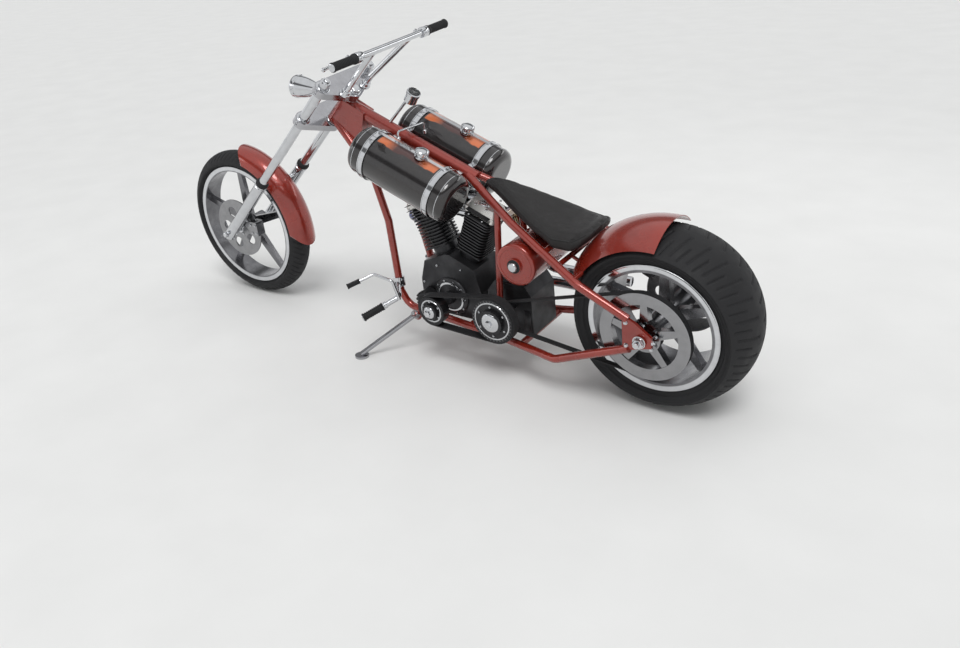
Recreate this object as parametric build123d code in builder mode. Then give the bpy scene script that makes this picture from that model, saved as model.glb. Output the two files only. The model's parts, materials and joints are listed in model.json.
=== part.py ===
from build123d import *
import os
from math import cos, radians, sin, tan

# Chopper motorcycle, millimetres. It is drawn upright: +X forward, +Y to its left, +Z up, zero on
# the ground under the rear axle. At the end every piece leans together onto the side stand.

# Stance
lean = 5.0
wheelbase = 2187.0
rake = 46.8

# Tyres: outer radius, half width, radius at the shoulder where the crown begins
front_radius, front_half, front_shoulder = 368.0, 62.0, 318.0
rear_radius, rear_half, rear_shoulder = 340.0, 145.0, 290.0
# Rims: lip radius, half width, radius of the bead seat, and the lips' thickness
front_rim_radius, front_rim_half, front_seat = 301.0, 48.0, 288.0
rear_rim_radius, rear_rim_half, rear_seat = 246.0, 120.0, 229.0
lip_thick = 7.0
front_axle_radius, rear_axle_radius = 9.5, 12.5
running_gap = 0.05
touch = 0.05


def axle_height(outer, half, shoulder):
    """Height of an axle whose leaned, round tyre just touches the ground."""
    drop = outer - shoulder
    crown = (half * half + drop * drop) / (2 * drop)
    return outer - crown + crown / cos(radians(lean))


front_axle = Vector(wheelbase, 0, axle_height(front_radius, front_half, front_shoulder))
rear_axle = Vector(0, 0, axle_height(rear_radius, rear_half, rear_shoulder))

# Steering: the fork legs run in a plane through the front axle, the stem behind them
up_fork = Vector(-sin(radians(rake)), 0, cos(radians(rake)))
behind_fork = Vector(-cos(radians(rake)), 0, -sin(radians(rake)))
stem_offset = 62.0
leg_spread = 133.0
lower_tree_at, upper_tree_at, tree_thick, leg_top = 886.0, 1086.0, 34.0, 1131.0
stem_radius, neck_radius = 13.0, 32.0
tube_radius, slider_radius, slider_top = 20.5, 27.0, 420.0
front_hub_half, front_disc_thick = 78.0, 5.0

# Frame tubes: middle lines on the left side, mirrored to the right
rail_radius = 16.0
downtube = [(1466, 22, 958), (1262, 60, 762), (1183, 90, 560), (1150, 118, 260), (1118, 112, 188),
            (660, 128, 160), (355, 198, 168), (45, 205, 300)]
upper_rail = [(800, 16, 778), (560, 105, 652), (236, 203, 506), (45, 205, 415)]
backbone_front_at, backbone_rear, backbone_radius = 1021.0, Vector(770, 0, 764), 27.0
seat_post = [(636, 77, 692), (640, 128, 160)]
# Moulded neck between backbone and downtubes, in the side view
neck_wedge, neck_wedge_half = [(1462, 964), (1391, 1044), (1282, 992), (1322, 872), (1400, 888)], 33.0
# Cross tubes: x, half length, z, radius
cross_tubes = [(970, 116, 160, 14), (810, 122, 154, 14), (540, 152, 154, 14), (398, 148, 579, 12),
               (340, 168, 540, 10)]
axle_plate_y, axle_plate_thick = 205.0, 12.0
axle_plate = [(-42, 322), (-42, 362), (20, 408), (66, 430), (66, 290), (20, 304)]

# Engine
crank = Vector(897, 0, 268)
case_bottom, case_half, deck_at = 178.0, 88.0, 175.0
cylinder_tilt = 22.5
cylinder_start, cylinder_length, head_length = 205.0, 136.0, 92.0
fin_radius, barrel_radius, fin_count = 62.0, 46.0, 10
rocker_height = 48.0
pushrod_y, pushrod_start = 75.0, 190.0
port_at = 361.0
gearbox_shaft = Vector(600, 0, 290)
filter_middle, filter_radius = Vector(1002, 0, 250), 40.0

# Drives: both belts are on the left
belt_y, belt_width = 165.0, 26.0
rear_pulley_radius, front_pulley_radius = 163.0, 45.0
primary_y, primary_width = 214.0, 40.0
crank_pulley_radius, clutch_radius = 62.0, 92.0
belt_thick = 6.0
belt_gap = 0.5

# Fuel tanks
tank_middle = Vector(990, 150, 812)
tank_slope = 21.7
tank_radius, tank_length = 98.0, 480.0
strap_places = (-160.0, 160.0)
cap_along = -46.0

# Handlebar
bar_middle = Vector(1105, 0, 1268)
bar_radius, bar_half, grip_radius, grip_length = 12.7, 340.0, 17.0, 125.0

# Headlamp: both ends of its middle line, its radius, and its bracket's place
lamp_tail, lamp_nose, lamp_radius = Vector(1530, 0, 1066), Vector(1670, 0, 1076), 47.0
lamp_foot = Vector(1580, 0, 1012)

# Side stand: pivot, foot on the leaned ground, and the leg folded back along the rail
stand_pivot = Vector(1044, 168, 186)
stand_foot = Vector(1222, 345, 345 * tan(radians(lean)))
stand_folded = Vector(-1.0, 0.04, -0.22)
stand_axis = (stand_foot - stand_pivot).cross(stand_folded).normalized()
stand_pin, stand_eye, stand_half = 6.0, 16.0, 11.5

# Fenders: crown radius, half width, drop of the sides, sheet, front edge in degrees up, sweep
rear_fender = (374.0, 148.0, 66.0, 4.0, 27.0, 68.0)
front_fender = (407.0, 70.0, 66.0, 3.0, 98.0, 90.0)
# Rounded fender ends: seen from this angle, way along the wheel, place of the tip, length, half width
rear_fender_ends = [(90.0, 1, 2.0, 292.0, 168.0)]
front_fender_ends = [(104.0, -1, 42.0, 100.0, 75.0), (182.0, 1, 42.0, 100.0, 75.0)]

pieces = {}


def side(y):
    """Drawing plane seen from the right: first axis forward, second up, facing right."""
    return Plane(origin=(0, y, 0), x_dir=(1, 0, 0), z_dir=(0, -1, 0))


def tube(points, radius, bend, mode=Mode.ADD):
    """Round tube along straight runs joined by arcs, added to the part being built."""
    with BuildLine() as route:
        if len(points) > 2:
            FilletPolyline(*points, radius=bend)
        else:
            Line(*points)
    start = Plane(origin=route.line @ 0, z_dir=route.line % 0)
    with BuildSketch(start) as section:
        Circle(radius)
    sweep(sections=section.sketch, path=route.line, mode=mode)


def rod(start, end, radius, mode=Mode.ADD):
    """Straight round bar between two points, added to the part being built."""
    run = Vector(end) - Vector(start)
    with BuildSketch(Plane(origin=start, z_dir=run)) as section:
        Circle(radius)
    extrude(section.sketch, amount=run.length, mode=mode)


def plate(outline, left, right, corner=0.0, mode=Mode.ADD):
    """Flat piece with an outline in the side view, from y = left down to y = right."""
    with BuildSketch(side(left)) as section:
        with BuildLine():
            Polyline(*outline, close=True)
        make_face()
        if corner:
            fillet(section.vertices(), corner)
    extrude(section.sketch, amount=left - right, mode=mode)


def both_sides(points):
    """The same places on the left and on the right."""
    return [points, [(x, -y, z) for x, y, z in points]]


def on_stem(t):
    """Place on the steering axis, t up from the level of the front axle."""
    return front_axle + behind_fork * stem_offset + up_fork * t


def across_stem(t):
    """Drawing plane across the steering axis: first axis left, second to the rear."""
    return Plane(origin=on_stem(t), x_dir=(0, 1, 0), z_dir=up_fork)


def on_leg(t, y):
    """Place on a fork leg's middle line, t up from the front axle."""
    return front_axle + up_fork * t + Vector(0, y, 0)


def wheel_section(axle):
    """Drawing plane of a wheel's section: first axis left, second away from the axle."""
    return Plane(origin=axle, x_dir=(0, 1, 0), z_dir=(1, 0, 0))


def wheel_side(axle, y):
    """Drawing plane of a wheel's face, seen from the right."""
    return Plane(origin=axle + Vector(0, y, 0), x_dir=(1, 0, 0), z_dir=(0, -1, 0))


def keep(name, builder):
    """Name a finished piece, to be leaned and written at the end."""
    pieces[name] = builder.part


def tyre(name, axle, outer, half, shoulder, rim_half, lip, seat_radius):
    """Round-crowned tyre that sits between the lips of its rim."""
    bead_half = rim_half - lip_thick
    with BuildPart() as piece:
        with BuildSketch(wheel_section(axle)):
            with BuildLine():
                ThreePointArc((-half, shoulder), (0, outer), (half, shoulder))
                Line((half, shoulder), (bead_half, lip + 2))
                Line((bead_half, lip + 2), (bead_half, seat_radius))
                Line((bead_half, seat_radius), (-bead_half, seat_radius))
                Line((-bead_half, seat_radius), (-bead_half, lip + 2))
                Line((-bead_half, lip + 2), (-half, shoulder))
            make_face()
        revolve(axis=Axis(axle, (0, 1, 0)))
    keep(name, piece)


def spokes(inner, outer, root, tip, count):
    """Tapered spokes in the drawing plane of a wheel's face, the first one pointing up."""
    with PolarLocations(0, count, start_angle=90):
        Polygon((inner, root), (outer, tip), (outer, -tip), (inner, -root), align=None)


def wheel(name, axle, lip, half, seat_radius, barrel_radius, hub_radius, hub_half, bore, spoke_half):
    """Rim with two lips, five tapered spokes and a hub with the axle's bore."""
    with BuildPart() as piece:
        with BuildSketch(wheel_section(axle)):
            with BuildLine():
                Polyline((-half, lip), (-half, barrel_radius), (half, barrel_radius), (half, lip),
                         (half - lip_thick, lip), (half - lip_thick, seat_radius),
                         (-half + lip_thick, seat_radius), (-half + lip_thick, lip), close=True)
            make_face()
        revolve(axis=Axis(axle, (0, 1, 0)))
        with BuildSketch(wheel_side(axle, hub_half)):
            Circle(hub_radius)
        extrude(amount=2 * hub_half)
        with BuildSketch(wheel_side(axle, spoke_half)):
            spokes(hub_radius - 6, barrel_radius + 3, 24, 13, 5)
        extrude(amount=2 * spoke_half)
        with BuildSketch(wheel_side(axle, hub_half)):
            Circle(bore)
        extrude(amount=2 * hub_half, mode=Mode.SUBTRACT)
    keep(name, piece)


def disc(name, axle, left, right, outer, inner, holes):
    """Flat ring on the side of a hub, with a ring of round holes."""
    with BuildPart() as piece:
        with BuildSketch(wheel_side(axle, left)):
            Circle(outer)
            Circle(inner, mode=Mode.SUBTRACT)
            with PolarLocations((outer + inner) * 0.5, holes):
                Circle((outer - inner) * 0.22, mode=Mode.SUBTRACT)
        extrude(amount=left - right)
    keep(name, piece)


def build_rear_pulley():
    """Open belt pulley: a wide ring with a guide flange, five spokes and a hub plate."""
    left, right = belt_y + belt_width / 2, belt_y - belt_width / 2 - 4
    ring_inner, hub_outer, bore, flange = rear_pulley_radius - 38, 60.0, 30.0, 3.0
    with BuildPart() as pulley:
        with BuildSketch(wheel_side(rear_axle, left)):
            Circle(rear_pulley_radius)
            Circle(ring_inner, mode=Mode.SUBTRACT)
            Circle(hub_outer)
            spokes(hub_outer - 6, ring_inner + 4, 17, 12, 5)
            Circle(bore, mode=Mode.SUBTRACT)
        extrude(amount=left - right)
        with BuildSketch(wheel_side(rear_axle, left + flange)):
            Circle(rear_pulley_radius + belt_thick)
            Circle(ring_inner, mode=Mode.SUBTRACT)
        extrude(amount=flange)
        with BuildSketch(wheel_side(rear_axle, left + 7)):
            with PolarLocations(48, 5):
                Circle(7)
        extrude(amount=7)
    keep("rear_pulley", pulley)


def build_wheels():
    tyre("front_tyre", front_axle, front_radius, front_half, front_shoulder, front_rim_half,
         front_rim_radius, front_seat)
    tyre("rear_tyre", rear_axle, rear_radius, rear_half, rear_shoulder, rear_rim_half,
         rear_rim_radius, rear_seat)
    wheel("front_wheel", front_axle, front_rim_radius, front_rim_half, front_seat, front_seat - 10,
          30, front_hub_half, front_axle_radius + running_gap, 11)
    wheel("rear_wheel", rear_axle, rear_rim_radius, rear_rim_half, rear_seat, rear_seat - 12,
          46, 148, rear_axle_radius + running_gap, 16)
    disc("front_brake_disc", front_axle, front_hub_half + front_disc_thick, front_hub_half, 146, 22, 5)
    disc("rear_brake_disc", rear_axle, -148, -154, 146, 30, 5)
    build_rear_pulley()


def build_frame():
    fender_crown, fender_half = rear_fender[0], rear_fender[1]
    with BuildPart() as frame:
        rod(on_stem(lower_tree_at + tree_thick / 2 + 4), on_stem(upper_tree_at - tree_thick / 2 - 4),
            neck_radius)
        rod(on_stem(backbone_front_at), backbone_rear, backbone_radius)
        for points in both_sides(downtube):
            tube(points, rail_radius, 60)
        for points in both_sides(upper_rail):
            tube(points, rail_radius, 120)
        for points in both_sides(seat_post):
            rod(points[0], points[1], 13)
        for x, half, z, radius in cross_tubes:
            rod((x, half, z), (x, -half, z), radius)
        for sign in (1, -1):
            rod((250, sign * 200, 524), (250, sign * (fender_half + touch), 524), 9)
            rod((340, sign * 60, 540), (306, sign * 60, 522), 7)
        for edge in (axle_plate_y + axle_plate_thick / 2, -axle_plate_y + axle_plate_thick / 2):
            plate(axle_plate, edge, edge - axle_plate_thick)
        boss = stand_pivot - stand_axis * (stand_half + 0.5)
        rod((stand_pivot.X, 114.6, 183.5), boss - stand_axis * 13, 12)
        rod(boss, boss - stand_axis * 18, stand_eye)
        rod(boss, stand_pivot + stand_axis * (stand_half + 4.5), stand_pin)
        rod(stand_pivot + stand_axis * (stand_half + 0.5), stand_pivot + stand_axis * (stand_half + 4.5),
            11)
        plate(neck_wedge, neck_wedge_half, -neck_wedge_half)
        with BuildSketch(wheel_section(rear_axle)) as under:
            with BuildLine():
                edge_radius = fender_crown - rear_fender[2] + touch
                ThreePointArc((-fender_half, edge_radius), (0, fender_crown + touch),
                              (fender_half, edge_radius))
                Polyline((fender_half, edge_radius), (fender_half, 0), (-fender_half, 0),
                         (-fender_half, edge_radius))
            make_face()
        revolve(under.sketch, axis=Axis(rear_axle, (0, 1, 0)), mode=Mode.SUBTRACT)
        rod(on_stem(lower_tree_at + tree_thick / 2 + 4), on_stem(upper_tree_at - tree_thick / 2 - 4),
            stem_radius + running_gap, mode=Mode.SUBTRACT)
        rod(rear_axle + Vector(0, 230, 0), rear_axle - Vector(0, 230, 0),
            rear_axle_radius + running_gap, mode=Mode.SUBTRACT)
    keep("frame", frame)
    nut_y, end_y = 228, 246
    with BuildPart() as axle:
        rod(rear_axle + Vector(0, nut_y, 0), rear_axle - Vector(0, nut_y, 0), rear_axle_radius)
        for sign in (1, -1):
            plate_face = axle_plate_y + axle_plate_thick / 2 + 1
            rod(rear_axle + Vector(0, sign * plate_face, 0), rear_axle + Vector(0, sign * nut_y, 0), 20)
            rod(rear_axle + Vector(0, sign * nut_y, 0), rear_axle + Vector(0, sign * end_y, 0), 11)
        rod(rear_axle + Vector(0, 182, 0), rear_axle + Vector(0, 198, 0), 18)
        rod(rear_axle - Vector(0, 155, 0), rear_axle - Vector(0, 198, 0), 18)
    keep("rear_axle", axle)


def cylinder_plane(sign, distance):
    """Drawing plane across a cylinder, at a distance from the crank: sign 1 front, -1 rear."""
    out = Vector(sign * sin(radians(cylinder_tilt)), 0, cos(radians(cylinder_tilt)))
    return Plane(origin=crank + out * distance, x_dir=(0, 1, 0), z_dir=out)


def build_engine():
    with BuildPart() as crankcase:
        out_x, out_z = sin(radians(cylinder_tilt)), cos(radians(cylinder_tilt))
        deck_x, deck_z = fin_radius * out_z + deck_at * out_x, deck_at * out_z - fin_radius * out_x
        peak_z = deck_at * out_z + fin_radius * out_x
        outline = [(-150, case_bottom - crank.Z), (-150, 40), (-deck_x, deck_z), (-9, peak_z), (9, peak_z),
                   (deck_x, deck_z), (152, 50), (152, case_bottom - crank.Z)]
        plate([(crank.X + x, crank.Z + z) for x, z in outline], case_half, -case_half)
        for x, half, z, radius in cross_tubes[:2]:
            plate([(x - 20, z + radius), (x - 20, case_bottom), (x + 20, case_bottom),
                   (x + 20, z + radius)], 70, -70)
        for sign in (1, -1):
            with BuildSketch(cylinder_plane(sign, 100)):
                Circle(barrel_radius + 6)
            extrude(amount=cylinder_start - 100)
            with BuildSketch(cylinder_plane(sign, 100)):
                with Locations((-pushrod_y, 0)):
                    Rectangle(20, 46)
            extrude(amount=pushrod_start - 100)
        rod(crank + Vector(0, case_half, 0), crank + Vector(0, 182, 0), 26)
        rod(crank - Vector(0, case_half, 0), crank - Vector(0, 112, 0), 78)
    keep("crankcase", crankcase)
    with BuildPart() as oil_filter:
        rod(filter_middle + Vector(0, case_half, 0), filter_middle + Vector(0, 96, 0), 22)
        rod(filter_middle + Vector(0, 96, 0), filter_middle + Vector(0, 150, 0), filter_radius)
        fillet(oil_filter.edges().filter_by(GeomType.CIRCLE).sort_by(Axis.Y)[-1], 12)
    keep("oil_filter", oil_filter)
    pitch = cylinder_length / fin_count
    for sign, name in ((1, "front"), (-1, "rear")):
        with BuildPart() as barrel:
            with BuildSketch(cylinder_plane(sign, cylinder_start)):
                Circle(barrel_radius)
            extrude(amount=cylinder_length)
            for row in range(fin_count):
                with BuildSketch(cylinder_plane(sign, cylinder_start + (row + 0.35) * pitch)):
                    RectangleRounded(2 * fin_radius, 2 * fin_radius, 26)
                extrude(amount=pitch * 0.36)
        keep(name + "_cylinder", barrel)
        top = cylinder_start + cylinder_length
        rocker = top + head_length - rocker_height
        with BuildPart() as head:
            with BuildSketch(cylinder_plane(sign, top)):
                Circle(barrel_radius)
            extrude(amount=head_length - rocker_height)
            with BuildSketch(cylinder_plane(sign, top + 6)):
                with Locations((-pushrod_y + 6, 0)):
                    Rectangle(34, 40)
            extrude(amount=6)
            for row in range(3):
                with BuildSketch(cylinder_plane(sign, top + 6 + row * 12)):
                    RectangleRounded(2 * fin_radius, 2 * fin_radius, 20)
                extrude(amount=5)
            with BuildSketch(cylinder_plane(sign, rocker)):
                RectangleRounded(104, 146, 18)
            extrude(amount=rocker_height * 0.45)
            with BuildSketch(cylinder_plane(sign, rocker + rocker_height * 0.45)):
                RectangleRounded(98, 140, 18)
            with BuildSketch(cylinder_plane(sign, rocker + rocker_height)):
                RectangleRounded(78, 118, 16)
            loft()
        keep(name + "_head", head)
    with BuildPart() as pushrods:
        for sign in (1, -1):
            with BuildSketch(cylinder_plane(sign, pushrod_start)):
                with Locations((-pushrod_y, 14), (-pushrod_y, -14)):
                    Circle(6.5)
            extrude(amount=cylinder_start + cylinder_length + 6 - pushrod_start)
    keep("pushrod_tubes", pushrods)
    with BuildPart() as gearbox:
        plate([(514, 168), (514, 340), (540, 378), (680, 378), (716, 330), (716, 168)], 85, -85)
        rod(gearbox_shaft + Vector(0, 85, 0), gearbox_shaft + Vector(0, 194, 0), 18)
        rod(gearbox_shaft + Vector(0, belt_y + belt_width / 2, 0),
            gearbox_shaft + Vector(0, belt_y - belt_width / 2, 0), front_pulley_radius)
    keep("gearbox", gearbox)


def loop(name, rear, rear_radius_in, front, front_radius_in, middle, width):
    """Flat belt around two pulleys, a little clear of both."""
    rear_in = rear_radius_in + belt_gap
    front_in = front_radius_in + belt_gap
    with BuildPart() as belt:
        for radius_extra, mode in ((belt_thick - 2 * belt_gap, Mode.ADD), (0.0, Mode.SUBTRACT)):
            with BuildSketch(side(middle + width / 2)):
                with Locations((rear.X, rear.Z)):
                    Circle(rear_in + radius_extra)
                with Locations((front.X, front.Z)):
                    Circle(front_in + radius_extra)
                make_hull()
            extrude(amount=width, mode=mode)
    keep(name, belt)


def build_drives():
    with BuildPart() as primary:
        for place, radius in ((crank, crank_pulley_radius), (gearbox_shaft, clutch_radius)):
            rod(place + Vector(0, primary_y - primary_width / 2, 0),
                place + Vector(0, primary_y + primary_width / 2, 0), radius)
            rod(place + Vector(0, primary_y + primary_width / 2, 0),
                place + Vector(0, primary_y + primary_width / 2 + 14, 0), radius * 0.55)
    keep("primary_pulleys", primary)
    loop("primary_belt", gearbox_shaft, clutch_radius, crank, crank_pulley_radius, primary_y,
         primary_width - 4)
    loop("drive_belt", rear_axle, rear_pulley_radius, gearbox_shaft, front_pulley_radius, belt_y,
         belt_width - 4)


def build_right_side():
    cleaner_at = Vector(crank.X, 0, 590)
    block = 2 * (fin_radius + touch)
    with BuildPart() as cleaner:
        rod(cleaner_at + Vector(80, -40, 0), cleaner_at + Vector(-80, -40, 0), 17)
        for sign in (1, -1):
            with BuildSketch(cylinder_plane(sign, cylinder_start)):
                Rectangle(block, block)
            extrude(amount=cylinder_length + head_length, mode=Mode.SUBTRACT)
        rod(cleaner_at - Vector(0, 40, 0), cleaner_at - Vector(0, 118, 0), 22)
        rod(cleaner_at - Vector(0, 118, 0), cleaner_at - Vector(0, 168, 0), 66)
        fillet(cleaner.edges().filter_by(GeomType.CIRCLE).sort_by(Axis.Y)[0], 12)
    keep("air_cleaner", cleaner)
    port = cylinder_plane(1, port_at)
    front_port = port.origin - port.y_dir * (fin_radius + touch)
    port = cylinder_plane(-1, port_at)
    rear_port = port.origin + port.y_dir * 42.5 - Vector(0, fin_radius + touch, 0)
    routes = {
        "front_exhaust": [front_port, front_port + Vector(45.5, 0, -18.85),
                          (1100, -190, 420), (960, -215, 250), (330, -245, 238)],
        "rear_exhaust": [rear_port, rear_port - Vector(0, 88, 0), (690, -190, 400), (600, -228, 310),
                         (260, -250, 300)],
    }
    for name, points in routes.items():
        with BuildPart() as pipe:
            tube(points, 21, 38)
            with BuildSketch(Plane(origin=points[-1], z_dir=(-1, 0, 0))):
                Circle(18)
            extrude(amount=-60, mode=Mode.SUBTRACT)
        keep(name, pipe)


def tank_plane(sign, along):
    """Drawing plane across a fuel tank's length: first axis to the left, second up."""
    ahead = Vector(cos(radians(tank_slope)), 0, sin(radians(tank_slope)))
    middle = Vector(tank_middle.X, sign * tank_middle.Y, tank_middle.Z)
    return Plane(origin=middle + ahead * along, x_dir=(0, 1, 0), z_dir=ahead)


def build_tanks():
    for sign, name in ((1, "left"), (-1, "right")):
        with BuildPart() as barrel:
            with BuildSketch(tank_plane(sign, -tank_length / 2)):
                Circle(tank_radius)
            extrude(amount=tank_length)
            fillet(barrel.edges().filter_by(GeomType.CIRCLE), 34)
        keep(name + "_tank", barrel)
    with BuildPart() as fittings:
        for sign in (1, -1):
            for along in strap_places:
                with BuildSketch(tank_plane(sign, along - 11)):
                    Circle(tank_radius + 3.5)
                    with Locations((-sign * (tank_radius + 16), 26)):
                        Rectangle(44, 40)
                extrude(amount=22)
            with BuildSketch(tank_plane(sign, strap_places[0])):
                with Locations((0, tank_radius)):
                    Rectangle(15, 14)
            extrude(amount=strap_places[1] - strap_places[0])
            cap = tank_plane(sign, cap_along)
            rod(cap.origin, cap.origin + cap.y_dir * (tank_radius + 20), 21)
            rod(tank_plane(sign, strap_places[0] - 12).origin, tank_plane(sign, strap_places[1] + 12).origin,
                tank_radius + touch, mode=Mode.SUBTRACT)
        rod(on_stem(backbone_front_at), backbone_rear, backbone_radius + touch, mode=Mode.SUBTRACT)
    keep("tank_straps", fittings)


def build_seat_and_fenders():
    # x, half width, top, bottom
    sections = [(722, 26, 782, 758), (650, 56, 764, 722), (560, 92, 728, 672), (470, 126, 688, 631),
                (370, 150, 650, 587), (300, 140, 642, 584), (245, 104, 658, 626)]
    with BuildPart() as seat:
        for x, half, top, bottom in sections:
            with BuildSketch(Plane(origin=(x, 0, (top + bottom) / 2), x_dir=(0, 1, 0), z_dir=(1, 0, 0))):
                RectangleRounded(2 * half, top - bottom, min(14, (top - bottom) * 0.4))
        loft(ruled=True)
        for points in both_sides(upper_rail):
            tube(points, rail_radius + 0.3, 120, mode=Mode.SUBTRACT)
    keep("seat", seat)
    fender("rear_fender", rear_axle, rear_fender, rear_fender_ends)
    fender("front_fender", front_axle, front_fender, front_fender_ends)


def fender(name, axle, sizes, ends):
    """Arched sheet round a wheel, swept back from its front edge, with rounded ends."""
    crown, half, skirt, thick, start, sweep_angle = sizes
    forward = Vector(cos(radians(start)), 0, sin(radians(start)))
    with BuildPart() as piece:
        with BuildSketch(Plane(origin=axle, x_dir=(0, 1, 0), z_dir=Vector(0, 1, 0).cross(forward))):
            with BuildLine():
                side_radius = crown - skirt
                ThreePointArc((-half, side_radius), (0, crown), (half, side_radius))
                Line((half, side_radius), (half - thick, side_radius))
                ThreePointArc((half - thick, side_radius), (0, crown - thick),
                              (-half + thick, side_radius))
                Line((-half + thick, side_radius), (-half, side_radius))
            make_face()
        revolve(axis=Axis(axle, (0, -1, 0)), revolution_arc=sweep_angle)
        for angle, way, tip, length, end_half in ends:
            out = Vector(cos(radians(angle)), 0, sin(radians(angle)))
            along = Vector(-out.Z, 0, out.X) * way
            with BuildSketch(Plane(origin=axle, x_dir=along, z_dir=out)):
                with Locations((tip - length, 0)):
                    Rectangle(2 * length, 2 * end_half + 20, align=(Align.MIN, Align.CENTER))
                    Ellipse(length, end_half, mode=Mode.SUBTRACT)
            extrude(amount=crown + 20, mode=Mode.SUBTRACT)
    keep(name, piece)


def build_small_frame_pieces():
    with BuildPart() as oil:
        rod((516, 170, 513), (516, -170, 513), 84)
        fillet(oil.edges().filter_by(GeomType.CIRCLE), 10)
        rod((516, 168, 513), (516, 178, 513), 30)
    keep("oil_tank", oil)
    with BuildPart() as gauge:
        rod((1190, 0, 940), (1060, 0, 1062), 6)
        rod((1054, 0, 1050), (1030, 0, 1084), 26)
        rod(on_stem(backbone_front_at), backbone_rear, backbone_radius + touch, mode=Mode.SUBTRACT)
    keep("gauge", gauge)
    with BuildPart() as caliper:
        plate([(96, 430), (140, 450), (164, 410), (120, 390)], -138, -172, 8)
        plate([(80, 438), (116, 462), (150, 404), (112, 380)], -146, -156, mode=Mode.SUBTRACT)
        plate([(34, 334), (34, 376), (112, 440), (150, 402), (72, 334)], -170, -178, 6)
        rod((52, -176, 354), (52, -199 + touch, 354), 11)
    keep("rear_brake_caliper", caliper)
    for sign, name in ((1, "left"), (-1, "right")):
        clamp_top, clamp_low = (1156.4, sign * 112.6, 318), (1152, sign * 116.3, 278)
        with BuildPart() as control:
            rod(clamp_top, clamp_low, 25)
            tube([(1154, sign * 128, 298), (1100, sign * 190, 268), (1196, sign * 322, 214)], 12, 24)
            tube([(1090, sign * 200, 264), (1104, sign * 212, 352), (1188, sign * 226, 374),
                  (1258, sign * 318, 346)], 7, 16)
            rod(clamp_top, clamp_low, rail_radius + touch, mode=Mode.SUBTRACT)
        keep(name + "_foot_control", control)


def build_stand():
    with BuildPart() as stand:
        rod(stand_pivot - stand_axis * stand_half, stand_pivot + stand_axis * stand_half, stand_eye)
        rod(stand_pivot, stand_foot + Vector(0, 0, 14), 11)
        ground = Plane(origin=stand_foot, z_dir=(0, -sin(radians(lean)), cos(radians(lean))))
        with BuildSketch(ground):
            Circle(30)
        extrude(amount=10)
        rod(stand_pivot - stand_axis * 40, stand_pivot + stand_axis * 40, stand_pin + running_gap,
            mode=Mode.SUBTRACT)
    keep("side_stand", stand)


def tree(name, t, with_stem):
    with BuildPart() as piece:
        with BuildSketch(across_stem(t - tree_thick / 2)):
            with Locations((0, 0)):
                Circle(34)
            with Locations((leg_spread, -stem_offset), (-leg_spread, -stem_offset)):
                Circle(34)
            make_hull()
        extrude(amount=tree_thick)
        with BuildSketch(across_stem(t - tree_thick / 2)):
            with Locations((leg_spread, -stem_offset), (-leg_spread, -stem_offset)):
                Circle(tube_radius + running_gap)
            if not with_stem:
                Circle(stem_radius + running_gap)
        extrude(amount=tree_thick, mode=Mode.SUBTRACT)
        if with_stem:
            rod(on_stem(t), on_stem(upper_tree_at + tree_thick / 2 + 6), stem_radius)
            rod(on_leg(t + 4, 0) + behind_fork * 2, lamp_foot - Vector(0, 0, 14), 10)
            rod(lamp_foot - Vector(0, 0, 26), lamp_foot - Vector(0, 0, touch), 15)
    keep(name, piece)


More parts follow.
